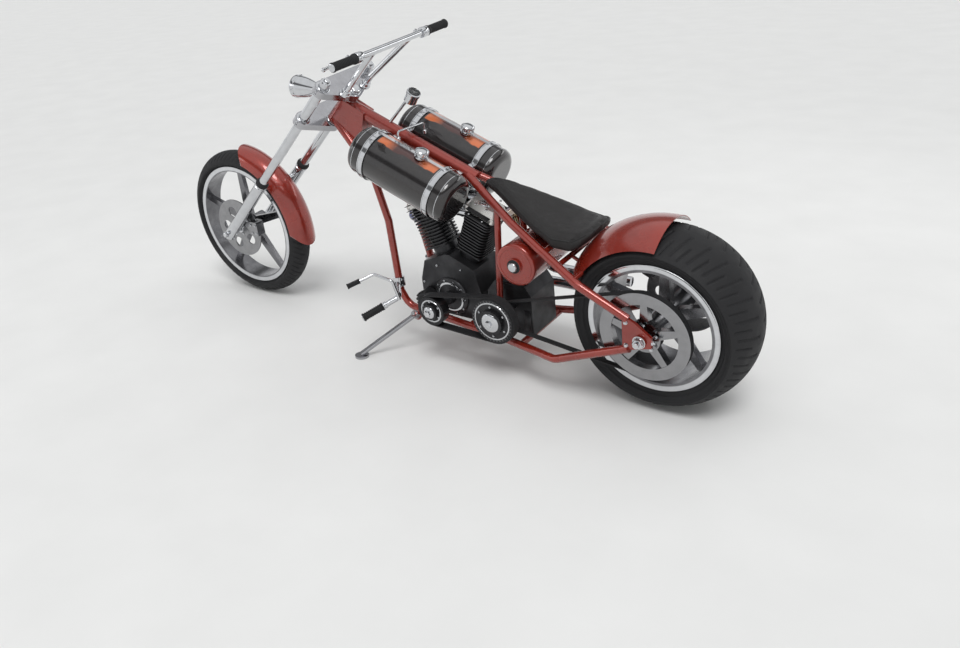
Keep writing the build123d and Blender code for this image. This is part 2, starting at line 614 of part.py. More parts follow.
def build_fork():
    tree("lower_tree", lower_tree_at, True)
    tree("upper_tree", upper_tree_at, False)
    fender_crown, fender_half, fender_drop = front_fender[:3]
    stay_at = fender_crown - fender_drop + 5
    for sign, name in ((1, "left"), (-1, "right")):
        with BuildPart() as leg:
            rod(on_leg(-34, sign * leg_spread), on_leg(slider_top, sign * leg_spread), slider_radius)
            rod(on_leg(slider_top, sign * leg_spread), on_leg(leg_top, sign * leg_spread), tube_radius)
            rod(on_leg(stay_at, sign * leg_spread), on_leg(stay_at, sign * (fender_half + touch)), 9)
            rod(front_axle + Vector(0, 180, 0), front_axle - Vector(0, 180, 0),
                front_axle_radius + running_gap, mode=Mode.SUBTRACT)
        keep(name + "_fork_leg", leg)
    with BuildPart() as axle:
        end = leg_spread + slider_radius + 8
        rod(front_axle + Vector(0, end, 0), front_axle - Vector(0, end, 0), front_axle_radius)
        for sign in (1, -1):
            spacer_in, spacer_out = front_hub_half + front_disc_thick + 5, leg_spread - slider_radius - 0.5
            rod(front_axle + Vector(0, sign * spacer_in, 0), front_axle + Vector(0, sign * spacer_out, 0), 16)
    keep("front_axle", axle)
    ahead = (lamp_nose - lamp_tail).normalized()
    length = (lamp_nose - lamp_tail).length
    upward = Vector(-ahead.Z, 0, ahead.X)
    with BuildPart() as lamp:
        with BuildSketch(Plane(origin=lamp_tail, x_dir=ahead, z_dir=ahead.cross(upward))):
            with BuildLine():
                Polyline((0, 12), (0, 0), (length, 0), (length, lamp_radius), (length - 20, lamp_radius))
                ThreePointArc((length - 20, lamp_radius), (52, 34), (0, 12))
            make_face()
        revolve(axis=Axis(lamp_tail, ahead))
        rod(lamp_foot, lamp_foot + Vector(0, 0, 40), 10)
    keep("headlamp", lamp)
    with BuildPart() as lens:
        rod(lamp_nose, lamp_nose + ahead * 7, lamp_radius - 4)
    keep("headlamp_lens", lens)
    with BuildPart() as caliper:
        disc_left, disc_right = front_hub_half + front_disc_thick, front_hub_half
        x, z = front_axle.X, front_axle.Z
        plate([(x - 156, z - 18), (x - 156, z + 56), (x - 106, z + 56), (x - 106, z - 18)],
              disc_left + 20, disc_right - 20, 10)
        plate([(x - 106, z - 5), (x - 106, z + 50), (x - 80, z + 90), (x - 44, z + 62)],
              disc_left + 20, disc_left + 8)
        plate([(x - 146, z - 50), (x - 146, z + 90), (x - 90, z + 90), (x - 90, z - 50)],
              disc_left + 3, disc_right - 3, mode=Mode.SUBTRACT)
        rod((x - 92, disc_left + 14, z + 62), on_leg(130, leg_spread - slider_radius + 6), 9)
        rod(on_leg(-34, leg_spread), on_leg(slider_top, leg_spread), slider_radius + touch,
            mode=Mode.SUBTRACT)
    keep("front_brake_caliper", caliper)


def build_handlebar():
    with BuildPart() as bar:
        for sign in (1, -1):
            foot = on_stem(upper_tree_at + tree_thick / 2) + Vector(0, sign * 62, 0)
            tube([foot, foot + up_fork * 60, bar_middle + Vector(0, sign * 110, 0)], bar_radius, 30)
        rod(bar_middle + Vector(0, bar_half, 0), bar_middle - Vector(0, bar_half, 0), bar_radius)
    keep("handlebar", bar)
    with BuildPart() as grips:
        for sign in (1, -1):
            end = bar_middle + Vector(0, sign * bar_half, 0)
            rod(end, end - Vector(0, sign * grip_length, 0), grip_radius)
            rod(end, end - Vector(0, sign * grip_length, 0), bar_radius + running_gap,
                mode=Mode.SUBTRACT)
    keep("grips", grips)
    with BuildPart() as controls:
        for sign in (1, -1):
            root = bar_middle + Vector(0, sign * 196, 0)
            rod(root - Vector(0, 16, 0), root + Vector(0, 16, 0), 20)
            tube([root + Vector(14, 0, 0), root + Vector(52, sign * 10, -4),
                  root + Vector(48, sign * 140, -10)], 6, 20)
        rod(bar_middle + Vector(0, 220, 0), bar_middle - Vector(0, 220, 0), bar_radius + running_gap,
            mode=Mode.SUBTRACT)
    keep("hand_controls", controls)


def write_pieces():
    """Lean every piece to the left, set the origin under the middle, and write the files."""
    leaned = {name: Location((0, 0, 0), (-lean, 0, 0)) * piece for name, piece in pieces.items()}
    boxes = [piece.bounding_box() for piece in leaned.values()]
    low = Vector(min(box.min.X for box in boxes), min(box.min.Y for box in boxes),
                 min(box.min.Z for box in boxes))
    high = Vector(max(box.max.X for box in boxes), max(box.max.Y for box in boxes), 0)
    shift = Location((-(low.X + high.X) / 2, -(low.Y + high.Y) / 2, -low.Z))
    os.makedirs("parts", exist_ok=True)
    for name, piece in leaned.items():
        parked = shift * piece
        parked.label = name
        export_step(parked, "parts/" + name + ".step")
    return shift


build_wheels()
build_frame()
build_engine()
build_drives()
build_right_side()
build_tanks()
build_seat_and_fenders()
build_small_frame_pieces()
build_stand()
build_fork()
build_handlebar()
shift = write_pieces()
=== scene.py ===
import json
from math import asin, copysign, cos, exp, pi, radians, sin

import bmesh
import bpy
import numpy as np
from mathutils import Matrix, Vector
from mathutils.bvhtree import BVHTree


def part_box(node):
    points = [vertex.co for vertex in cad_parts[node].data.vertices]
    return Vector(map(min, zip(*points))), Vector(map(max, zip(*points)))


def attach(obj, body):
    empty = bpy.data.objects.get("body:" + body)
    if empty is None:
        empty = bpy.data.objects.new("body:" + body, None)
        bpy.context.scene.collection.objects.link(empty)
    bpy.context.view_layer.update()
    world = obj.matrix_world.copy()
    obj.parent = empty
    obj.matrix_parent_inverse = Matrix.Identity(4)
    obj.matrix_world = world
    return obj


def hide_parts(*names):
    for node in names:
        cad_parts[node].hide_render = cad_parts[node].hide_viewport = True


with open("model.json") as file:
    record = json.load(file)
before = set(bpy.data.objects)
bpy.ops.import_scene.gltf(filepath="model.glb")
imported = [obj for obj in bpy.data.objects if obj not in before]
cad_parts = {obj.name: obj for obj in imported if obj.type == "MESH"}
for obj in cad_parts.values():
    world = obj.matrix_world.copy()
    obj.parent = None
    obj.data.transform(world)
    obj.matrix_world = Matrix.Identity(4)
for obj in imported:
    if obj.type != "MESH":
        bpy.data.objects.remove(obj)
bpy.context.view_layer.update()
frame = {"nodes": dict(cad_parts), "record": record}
nodes = frame["nodes"]
scene = bpy.context.scene

# The motorcycle's own axes: millimetres, upright, zero on the ground under the rear axle
lean = radians(5)
rear_axle_height = 340.899
front_axle_height = 368.243
rear_low, rear_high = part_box("rear_tyre")
stance_x = (rear_low.x + rear_high.x) / 2
stance_y = (rear_low.y + rear_high.y) / 2 - rear_axle_height / 1000 * sin(lean)
ground_stance = Matrix.Translation((stance_x, stance_y, 0)) @ Matrix.Scale(0.001, 4)
stance = ground_stance @ Matrix.Rotation(-lean, 4, "X")
to_own = stance.inverted()
left = Vector((0, 1, 0))
forward = Vector((1, 0, 0))
upward = Vector((0, 0, 1))
square = (forward, left, upward)
both_sides = ((1, left), (-1, -left))

# Sizes repeated from the CAD source, in the motorcycle's own millimetres
wheelbase, rake = 2187, radians(46.8)
front_axle = Vector((wheelbase, 0, front_axle_height))
rear_axle = Vector((0, 0, rear_axle_height))
up_fork = Vector((-sin(rake), 0, cos(rake)))
behind_fork = Vector((-cos(rake), 0, -sin(rake)))
stem_offset, leg_spread = 62, 133
lower_tree_at, upper_tree_at, tree_thick, leg_top, slider_top = 886, 1086, 34, 1131, 420
bar_middle, bar_radius, bar_half = Vector((1105, 0, 1268)), 12.7, 340
lamp_tail, lamp_nose, lamp_pivot = Vector((1530, 0, 1066)), Vector((1670, 0, 1076)), (1580, 12, 1028)
lever_root_y, lever_pivot, lever_tip = 196, (44, 8, -4), (48, 132, -10)
crank = Vector((897, 0, 268))
gearbox_shaft = Vector((600, 0, 290))
gearbox_top, gearbox_side = Vector((610, 0, 380)), Vector((615, -85, 280))
cylinder_tilt = radians(22.5)
cylinder_start, cylinder_length, head_length, rocker_height = 205, 136, 92, 48
pushrod_foot, pushrod_off, pushrod_length = 190, 75, 132
head_top = cylinder_start + cylinder_length + head_length
filter_end = Vector((1002, 150, 250))
cleaner_face = Vector((crank.x, -168, 590))
primary_face, crank_pulley_radius, clutch_radius = 234, 62, 92
tank_middle, tank_slope, tank_radius = Vector((990, 150, 812)), radians(21.7), 98
gauge_back, gauge_face = Vector((1054, 0, 1050)), Vector((1030, 0, 1084))
peg_root, peg_end = (1100, 190, 268), (1196, 322, 214)
toe_peg_root, toe_peg_end = (1188, 226, 374), (1258, 318, 346)
round_tank_face, round_tank_cap = (516, 169.6, 513), Vector((516, 177.8, 513))
stand_pivot, stand_axis = Vector((1044, 168, 186)), Vector((-0.121, 0.722, 0.682)).normalized()

# Seat: x, half width, top and bottom; the rails that run under it, and how far it keeps off them
seat_sections = [(245, 104, 658, 626), (300, 140, 642, 584), (370, 150, 650, 587), (470, 126, 688, 631),
                 (560, 92, 728, 672), (650, 56, 764, 722), (722, 26, 782, 758)]
upper_rail = [(800, 16, 778), (560, 105, 652), (236, 203, 506), (45, 205, 415)]
rail_reach = 18.5

# Tyres: points round, depth and slope of the cuts; the wall's steps, swell and ridges
tyre_points, tread_depth, cut_slope = 640, 4.5, 2.4
wall_steps = [(0, 0, 0), (0.1, 1.2, 0), (0.16, 1.5, 0.8), (0.2, 1.6, 0.8), (0.24, 1.6, 0),
              (0.52, 1.8, 0), (0.55, 1.8, 1), (0.6, 1.8, 1), (0.63, 1.6, 0), (0.82, 0.8, 0),
              (0.86, 0.6, 1.6), (0.95, 0.3, 1.6), (1, 0, 0)]

# Camera: place and look in ground millimetres, solved from the photograph's floor
camera_place = (-1243.7, 2841.3, 1749.6)
camera_look = (0.5932, -0.7002, -0.3978)
camera_roll = radians(4.86)
focal_px, image_width = 916.476, 960
principal_px, middle_px = (420.84, 301.08), (480, 324)
sensor_width = 36

# Colours that several finishes share, and the depth in metres of lacquer's and polish's unevenness
black_rubber, black_case, dark_steel = (0.01, 0.01, 0.011), (0.045, 0.045, 0.048), (0.34, 0.34, 0.35)
tree_tint, dust_grey, coat_depth, polish_depth = (0.5, 0.5, 0.52), (0.35, 0.32, 0.29), 0.00002, 0.000008


def on_stem(t):
    """Place on the steering axis, as in the CAD source."""
    return front_axle + behind_fork * stem_offset + up_fork * t


def on_leg(t, sign, spread=leg_spread):
    """Place on a fork leg's middle line, or beside it."""
    return front_axle + up_fork * t + left * (sign * spread)


def cylinder_out(sign):
    """Direction of a cylinder from the crank: sign 1 front, -1 rear."""
    return Vector((sign * sin(cylinder_tilt), 0, cos(cylinder_tilt)))


def tank_axes(sign):
    """Middle of a tank, its long axis and the way up from it: sign 1 left, -1 right."""
    ahead = Vector((cos(tank_slope), 0, sin(tank_slope)))
    over = Vector((-sin(tank_slope), 0, cos(tank_slope)))
    return sided(sign, *tank_middle), ahead, over


def sided(sign, x, y, z):
    """A place on the left side, or its mirror image on the right for -1."""
    return Vector((x, sign * y, z))


def four_corners(half_y, half_x):
    """Corners of an oblong, as steps to the left and across."""
    return [(y, x) for y in (half_y, -half_y) for x in (half_x, -half_x)]


def round_way(angle, first=forward, second=upward):
    """Direction at an angle from a first way toward a second one."""
    return first * cos(angle) + second * sin(angle)


def spokes(count, start=0, first=forward, second=upward):
    """Directions evenly round a circle."""
    return [round_way(2 * pi * turn / count + start, first, second) for turn in range(count)]


def way_of(direction):
    """A direction of the upright motorcycle, in the frame."""
    return (stance.to_3x3() @ Vector(direction)).normalized()


def put_in_scene(name, data):
    """A new object of the scene."""
    made = bpy.data.objects.new(name, data)
    scene.collection.objects.link(made)
    return made


def make_camera():
    """Camera at the photograph's place, angle and crop."""
    ahead = Vector(camera_look).normalized()
    level = ahead.cross(upward).normalized()
    down = ahead.cross(level)
    data = bpy.data.cameras.new("photo_camera")
    data.sensor_fit = "HORIZONTAL"
    data.sensor_width = sensor_width
    data.lens = focal_px * sensor_width / image_width
    data.shift_x = (middle_px[0] - principal_px[0]) / image_width
    data.shift_y = (principal_px[1] - middle_px[1]) / image_width
    data.clip_start, data.clip_end = 0.05, 100
    camera = put_in_scene("photo_camera", data)
    right, up = round_way(camera_roll, level, down), -round_way(camera_roll, down, -level)
    axes = Matrix((right, up, -ahead)).transposed().to_4x4()
    camera.matrix_world = Matrix.Translation(ground_stance @ Vector(camera_place)) @ axes
    scene.camera = camera


class Paint:
    """A procedural material, put together node by node on one Principled shader."""

    def __init__(self, name, **plain):
        self.material = bpy.data.materials.new(name)
        self.material.use_nodes = True
        self.tree = self.material.node_tree
        self.shader = self.tree.nodes["Principled BSDF"]
        self.place = self.add("ShaderNodeTexCoord").outputs["Object"]
        for socket, value in plain.items():
            self.shader.inputs[socket.replace("_", " ")].default_value = value

    def add(self, kind, settings=None, **inputs):
        """A node with its settings, and each input either a value or another node's output."""
        made = self.tree.nodes.new(kind)
        for key, value in (settings or {}).items():
            setattr(made, key, value)
        for key, value in inputs.items():
            socket = made.inputs[int(key[1:])] if key[1:].isdigit() else made.inputs[key.replace("_", " ")]
            if isinstance(value, bpy.types.NodeSocket):
                self.tree.links.new(value, socket)
            else:
                socket.default_value = value
        return made

    def noise(self, scale, detail=4, rough=0.5, at=None):
        """Grey noise from 0 to 1 at a scale in cycles per metre."""
        made = self.add("ShaderNodeTexNoise", Vector=at or self.place, Scale=scale, Detail=detail,
                        Roughness=rough)
        return made.outputs["Fac"]

    def spread(self, value, low, high, from_low=0.3, from_high=0.7):
        """A value moved from one range to another."""
        made = self.add("ShaderNodeMapRange", i0=value, i1=from_low, i2=from_high, i3=low, i4=high)
        return made.outputs["Result"]

    def mix(self, share, first, second):
        """Two colours mixed by a share; each is a triple or another node's output."""
        first, second = (tone if isinstance(tone, bpy.types.NodeSocket) else (*tone, 1)
                         for tone in (first, second))
        made = self.add("ShaderNodeMix", {"data_type": "RGBA"}, i0=share, i6=first, i7=second)
        return made.outputs[2]

    def blend(self, value, first, second, from_low=0.3, from_high=0.7):
        """Two colours mixed by where a value lies in a range."""
        return self.mix(self.spread(value, 0, 1, from_low, from_high), first, second)

    def maths(self, work, first, second=0):
        """One sum on two values."""
        return self.add("ShaderNodeMath", {"operation": work}, i0=first, i1=second).outputs[0]

    def vectors(self, work, first, second=(0, 0, 0)):
        """Outputs of one sum on two vectors: a vector and a value."""
        return self.add("ShaderNodeVectorMath", {"operation": work}, i0=first, i1=second).outputs

    def bump(self, height, depth, below=None):
        """A bump of a depth in metres, laid over another one if there is one."""
        inputs = {"Height": height, "Distance": depth, "Strength": 1}
        if below:
            inputs["Normal"] = below
        return self.add("ShaderNodeBump", **inputs).outputs["Normal"]

    def polish_marks(self):
        """Faint marks of polishing on plated metal."""
        return self.bump(self.noise(900, 3), polish_depth)

    def plug(self, tone, rough=None, normal=None):
        """The material, with its colour, roughness and normal on the shader."""
        for socket, value in (("Base Color", tone), ("Roughness", rough), ("Normal", normal)):
            if value:
                self.tree.links.new(value, self.shader.inputs[socket])
        return self.material


def shade(base, share, lift=0):
    """A colour made darker or lighter."""
    return [part * share + lift for part in base]


def along_of(paint, origin, way):
    """How far a point of the surface lies from a place along a direction, in millimetres."""
    dot = paint.vectors("DOT_PRODUCT", paint.place, way_of(way))["Value"]
    moved = paint.maths("SUBTRACT", dot, (stance @ origin).dot(way_of(way)))
    return paint.maths("MULTIPLY", moved, 1000)


def from_axle(paint, middle):
    """How far a point of the surface lies from an axle's middle line, in metres."""
    off = paint.vectors("SUBTRACT", paint.place, stance @ middle)[0]
    return paint.vectors("LENGTH", paint.vectors("CROSS_PRODUCT", off, way_of(left))[0])["Value"]


def gloss_paint(name, base, deep):
    """Metallic lacquer: fine flake, slow change of tone, light dust and a clear coat."""
    paint = Paint(name, Metallic=0.35, Coat_Weight=1, Coat_Roughness=0.04, Coat_IOR=1.5)
    slow = paint.noise(7, 3)
    flake = paint.spread(paint.noise(9000, 2), 0, 0.35)
    dust = paint.spread(paint.noise(60, 8, 0.7), 0, 0.05, 0.45, 0.8)
    tone = paint.mix(flake, paint.blend(slow, base, deep), shade(base, 2, 0.008))
    return paint.plug(paint.mix(dust, tone, dust_grey), paint.spread(slow, 0.22, 0.32),
                      paint.bump(paint.noise(420, 2), coat_depth))


def coat(name, worn, tones, rough, grain, depth, **plain):
    """Finish whose tone and roughness follow one noise, under a fine grain."""
    paint = Paint(name, **plain)
    patch = paint.noise(*worn)
    return paint.plug(paint.blend(patch, *tones), paint.spread(patch, *rough),
                      paint.bump(paint.noise(*grain), depth))


def chrome(name, tint, rough):
    """Plated metal with faint smears and fine polishing marks."""
    return coat(name, (26, 6, 0.65), (tint, shade(tint, 0.86)), rough, (900, 3), polish_depth, Metallic=1)


def cast_metal(name, base, rough, grain, depth):
    """Cast or coated metal with a fine grain and oily patches."""
    return coat(name, (18, 6, 0.6), (base, shade(base, 0.62)), rough, (grain, 4, 0.6), depth, Metallic=0.75)


def rubber(name, base, grain, depth):
    """Rubber with a dull bloom and dusty places."""
    return coat(name, (22, 7, 0.65), (base, shade(base, 1.5, 0.003)), (0.55, 0.8), (grain, 5, 0.7), depth,
                Specular_IOR_Level=0.35)


def clear_glass(name):
    """Moulded clear glass with faint flutes."""
    flutes = (60, 2)
    return coat(name, flutes, ((0.97, 0.98, 0.98), (0.92, 0.94, 0.95)), (0.01, 0.05), flutes, 0.0002,
                Transmission_Weight=1, IOR=1.45)


def printed(name, base, rough, grain):
    """Enamel or thread: a plain colour with a fine broken surface."""
    fine = (grain, 5, 0.7)
    return coat(name, fine, (base, shade(base, 0.7)), (rough, rough + 0.15), fine, 0.00004,
                Specular_IOR_Level=0.4)


def leather(name, base):
    """Leather with a pebbled grain, soft folds and shine where it is rubbed."""
    paint = Paint(name, Specular_IOR_Level=0.35, Sheen_Weight=0.02)
    cells = paint.add("ShaderNodeTexVoronoi", {"feature": "DISTANCE_TO_EDGE"}, Vector=paint.place,
                      Scale=620).outputs["Distance"]
    folds = paint.noise(34, 5, 0.6)
    grain = paint.bump(paint.spread(cells, 0, 1, 0, 0.22), 0.00022)
    return paint.plug(paint.blend(folds, base, shade(base, 1.5, 0.002)), paint.spread(folds, 0.36, 0.58),
                      paint.bump(folds, 0.0012, grain))


def turned_metal(name, middle):
    """Metal ground round an axle: fine rings about the wheel's middle."""
    paint = Paint(name, Metallic=1)
    away = paint.add("ShaderNodeCombineXYZ", X=from_axle(paint, middle)).outputs[0]
    rings = paint.noise(1500, 3, 0.7, away)
    return paint.plug(paint.blend(paint.noise(30, 6, 0.6), dark_steel, shade(dark_steel, 0.8)),
                      paint.spread(rings, 0.18, 0.4), paint.bump(rings, 0.00003))


def head_metal(name, sign):
    """Dark cast head whose rocker box is polished."""
    paint = Paint(name, Metallic=0.8)
    seam = head_top - rocker_height
    share = paint.spread(along_of(paint, crank, cylinder_out(sign)), 0, 1, seam - 0.6, seam + 0.6)
    patch = paint.noise(18, 6, 0.6)
    dark = paint.blend(patch, (0.075, 0.075, 0.08), black_case)
    bright = paint.blend(patch, (0.8, 0.79, 0.76), (0.68, 0.67, 0.65))
    rough = paint.maths("ADD", paint.spread(share, 0.44, 0.24, 0, 1), paint.spread(patch, 0, 0.08))
    return paint.plug(paint.mix(share, dark, bright), rough, paint.bump(paint.noise(1200, 4, 0.6), 0.00003))


def tank_lacquer(name, sign):
    """Black lacquer with an orange and deep red panel under the strip along the top."""
    paint = Paint(name, Metallic=0.3, Coat_Weight=1, Coat_Roughness=0.03)
    middle, ahead, over = tank_axes(sign)
    along = paint.maths("ABSOLUTE", along_of(paint, middle, ahead))
    turn = paint.maths("ABSOLUTE", paint.maths("ARCTAN2", along_of(paint, middle, left),
                                               along_of(paint, middle, over)))
    ragged = paint.spread(paint.noise(16, 2, 0.4), -0.07, 0.07)
    reach = paint.maths("SUBTRACT", paint.maths("ADD", ragged, 0.4), turn)
    panel = paint.maths("MULTIPLY", paint.spread(reach, 0, 1, -0.02, 0.03),
                        paint.spread(along, 1, 0, 136, 140))
    black = paint.blend(paint.noise(9, 3), (0.01, 0.009, 0.01), (0.018, 0.014, 0.014))
    flake = paint.spread(paint.noise(7000, 2), 0, 0.3)
    warm = paint.mix(flake, (0.6, 0.13, 0.035), (0.85, 0.32, 0.12))
    warm = paint.blend(along, (0.055, 0.01, 0.008), warm, 55, 100)
    dust = paint.spread(paint.noise(70, 8, 0.7), 0, 0.05, 0.5, 0.8)
    tone = paint.mix(dust, paint.mix(panel, black, warm), (0.35, 0.33, 0.31))
    return paint.plug(tone, paint.spread(paint.noise(12, 3), 0.18, 0.28),
                      paint.bump(paint.noise(420, 2), coat_depth))


def wheel_metal(name, middle, lip):
    """Dark polished spokes and hub inside a bright plated rim."""
    paint = Paint(name, Metallic=1)
    share = paint.spread(from_axle(paint, middle), 0, 1, (lip - 20) / 1000, (lip - 17) / 1000)
    smear = paint.noise(26, 6, 0.65)
    dark = paint.blend(smear, (0.24, 0.24, 0.25), (0.16, 0.16, 0.17))
    bright = paint.blend(smear, (0.72, 0.73, 0.75), (0.6, 0.61, 0.63))
    rough = paint.maths("ADD", paint.spread(share, 0.2, 0.05, 0, 1), paint.spread(smear, 0, 0.07))
    return paint.plug(paint.mix(share, dark, bright), rough, paint.polish_marks())


def hot_chrome(name, port):
    """Plated pipe, tinted gold and blue by heat near the cylinder."""
    paint = Paint(name, Metallic=1)
    smear = paint.noise(26, 6, 0.65)
    off = paint.vectors("DISTANCE", paint.place, stance @ Vector(port))["Value"]
    away = paint.maths("ADD", off, paint.spread(smear, -0.02, 0.02))
    plain = paint.blend(smear, (0.58, 0.59, 0.61), (0.48, 0.49, 0.51))
    gold = paint.blend(away, (0.5, 0.38, 0.2), plain, 0.1, 0.24)
    return paint.plug(paint.blend(away, (0.16, 0.18, 0.34), gold, 0.03, 0.11),
                      paint.spread(smear, 0.05, 0.14), paint.polish_marks())


def paint_node(name, material):
    """Gives a CAD node one material."""
    slots = nodes[name].data.materials
    slots.clear()
    slots.append(material)


def make_floor():
    """Pale floor out to the horizon, a plain pale sky and soft lamps."""
    paint = Paint("floor", Roughness=0.8)
    mesh = bpy.data.meshes.new("floor")
    reach = 90
    mesh.from_pydata([(x * reach, y * reach, 0) for x, y in ((-1, -1), (1, -1), (1, 1), (-1, 1))], [],
                     [(0, 1, 2, 3)])
    mesh.materials.append(paint.plug(paint.blend(paint.noise(3, 4), (0.76, 0.76, 0.75), (0.79, 0.79, 0.78))))
    floor = put_in_scene("floor", mesh)
    world = bpy.data.worlds.new("studio")
    world.use_nodes = True
    sky = world.node_tree
    kinds = ("TexCoord", "SeparateXYZ", "ValToRGB")
    place, split, bands = (sky.nodes.new("ShaderNode" + kind) for kind in kinds)
    # Pale to well above the horizon, a darker band for the metal to show, then bright overhead
    steps = [(0, 0.86), (0.36, 0.86), (0.43, 0.16), (0.62, 0.16), (0.7, 0.84), (1, 0.84)]
    stops = bands.color_ramp.elements
    while len(stops) < len(steps):
        stops.new(0.5)
    for stop, (height, grey) in zip(stops, steps):
        stop.position = height
        stop.color = (grey * 0.99, grey, grey * 1.01, 1)
    sky.links.new(place.outputs["Generated"], split.inputs[0])
    sky.links.new(split.outputs["Z"], bands.inputs["Fac"])
    sky.links.new(bands.outputs["Color"], sky.nodes["Background"].inputs["Color"])
    sky.nodes["Background"].inputs["Strength"].default_value = 1
    scene.world = world
    data = bpy.data.lights.new("soft_sun", "SUN")
    data.energy, data.angle = 1.2, radians(24)
    sun_way = Vector((0.35, -0.45, -1))
    put_in_scene("soft_sun", data).rotation_euler = sun_way.to_track_quat("-Z", "Y").to_euler()
    # Name, place, aimed at, width, height, watts
    lamps = [("key", (-1.2, 2.6, 3.4), (0, 0, 0.5), 2.2, 0.8, 10),
             ("fill", (3.2, 2.2, 2), (0.4, 0, 0.5), 1.6, 0.6, 5),
             ("rim", (-1.6, -3, 2.6), (0, 0, 0.5), 2.6, 0.5, 10)]
    for name, where, aim, width, height, watts in lamps:
        data = bpy.data.lights.new(name, "AREA")
        data.shape, data.size, data.size_y, data.energy = "RECTANGLE", width, height, watts
        lamp = put_in_scene(name, data)
        lamp.location = where
        lamp.rotation_euler = (Vector(aim) - Vector(where)).to_track_quat("-Z", "Y").to_euler()


class Form:
    """A mesh put together in the motorcycle's own millimetres."""

    def __init__(self):
        self.mesh = bmesh.new()

    def skin(self, rings):
        """Faces between neighbouring rings of points; a ring of one point closes the form."""
        made = [[self.mesh.verts.new(point) for point in ring] for ring in rings]
        count = max(len(ring) for ring in made)
        for low, high in zip(made, made[1:]):
            for i in range(count):
                j = (i + 1) % count
                corners = []
                for ring, k in ((low, i), (low, j), (high, j), (high, i)):
                    point = ring[k % len(ring)]
                    if point not in corners:
                        corners.append(point)
                if len(corners) > 2:
                    self.mesh.faces.new(corners)

    def lathe(self, start, way, profile, sides=32):
        """Profile of steps along a line and radii, turned about that line."""
        way = Vector(way).normalized()
        first = way.cross(left if abs(way.y) < 0.9 else upward).normalized()
        outs = spokes(sides, 0, first, way.cross(first))
        rings = []
        for along, radius in profile:
            middle = Vector(start) + way * along
            rings.append([middle + out * radius for out in (outs if radius else outs[:1])])
        self.skin(rings)

    def bolt(self, place, way, size):
        """Washer and six-sided head, sitting on a face."""
        self.lathe(place, way, [(0, 0), (0, size * 1.2), (size * 0.2, size * 1.2), (size * 0.2, 0)], 20)
        self.lathe(place, way, [(size * 0.1, size), (size * 0.85, size), (size, size * 0.8), (size, 0)], 6)

    def cap_screw(self, place, way, size):
        """Round screw head with a sunk middle."""
        profile = [(0, 1), (0.8, 1), (0.95, 0.85), (0.95, 0.5), (0.45, 0.45), (0.45, 0)]
        self.lathe(place, way, [(along * size, radius * size) for along, radius in profile], 18)

    def screw_ring(self, middle, way, radius, size, count, start=0):
        """Cap screws evenly round a circle on a face."""
        for out in spokes(count, start):
            self.cap_screw(middle + out * radius, way, size)

    def tube(self, points, radius, sides=12):
        """Round bar along a list of points."""
        points = [Vector(point) for point in points]
        across = None
        rings = [[points[0]]]
        for i, point in enumerate(points):
            run = (points[min(i + 1, len(points) - 1)] - points[max(i - 1, 0)]).normalized()
            if across is None:
                across = run.cross(left if abs(run.y) < 0.9 else upward).normalized()
            across = (across - run * across.dot(run)).normalized()
            rings.append([point + out * radius for out in spokes(sides, 0, across, run.cross(across))])
        rings.append([points[-1]])
        self.skin(rings)

    def block(self, middle, axes, sizes, edge):
        """Block with rounded edges; its three axes and its full sizes."""
        middle = Vector(middle)
        made = bmesh.ops.create_cube(self.mesh, size=1)["verts"]
        for point in made:
            point.co = middle + sum((axes[i] * (point.co[i] * sizes[i]) for i in range(3)), Vector())
        edges = {e for point in made for e in point.link_edges}
        bmesh.ops.bevel(self.mesh, geom=list(edges), offset=edge, segments=2, affect="EDGES", profile=0.5)

    def block_ring(self, middle, way, radius, sizes, edge, count, first=forward, second=upward):
        """Blocks evenly round a circle, as flutes or teeth."""
        for out in spokes(count, 0, first, second):
            self.block(middle + out * radius, (out, out.cross(way), way), sizes, edge)

    def done(self, name, material="chrome", body="frame_body", slot=None, sharp=35):
        """The finished piece in the frame; its slot is its material's. The slot argument is not used."""
        bmesh.ops.recalc_face_normals(self.mesh, faces=self.mesh.faces)
        made = bpy.data.meshes.new(name)
        self.mesh.to_mesh(made)
        self.mesh.free()
        return place_piece(name, made, material, body, sharp)


def place_piece(name, made, material, body, sharp):
    """Puts a mesh drawn in millimetres into the frame, with its finish and its body."""
    made.transform(stance)
    made.shade_smooth()
    made.set_sharp_from_angle(angle=radians(sharp))
    made.materials.append(materials[material])
    piece = put_in_scene(name, made)
    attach(piece, body)
    return piece


def smooth_step(low, high, value):
    """Rises softly from 0 to 1 between two values."""
    share = np.clip((value - low) / (high - low), 0, 1)
    return share * share * (3 - 2 * share)


def cuts(phase, pitch, half_width, away, begin, end):
    """Cuts across the crown, 1 at the bottom, that begin and end at shares of its half width."""
    phase = phase % 1
    off = np.minimum(phase, 1 - phase) * pitch
    bottom = 1 - smooth_step(half_width, half_width + cut_slope, off)
    return bottom * smooth_step(*begin, away) * (1 - smooth_step(*end, away))


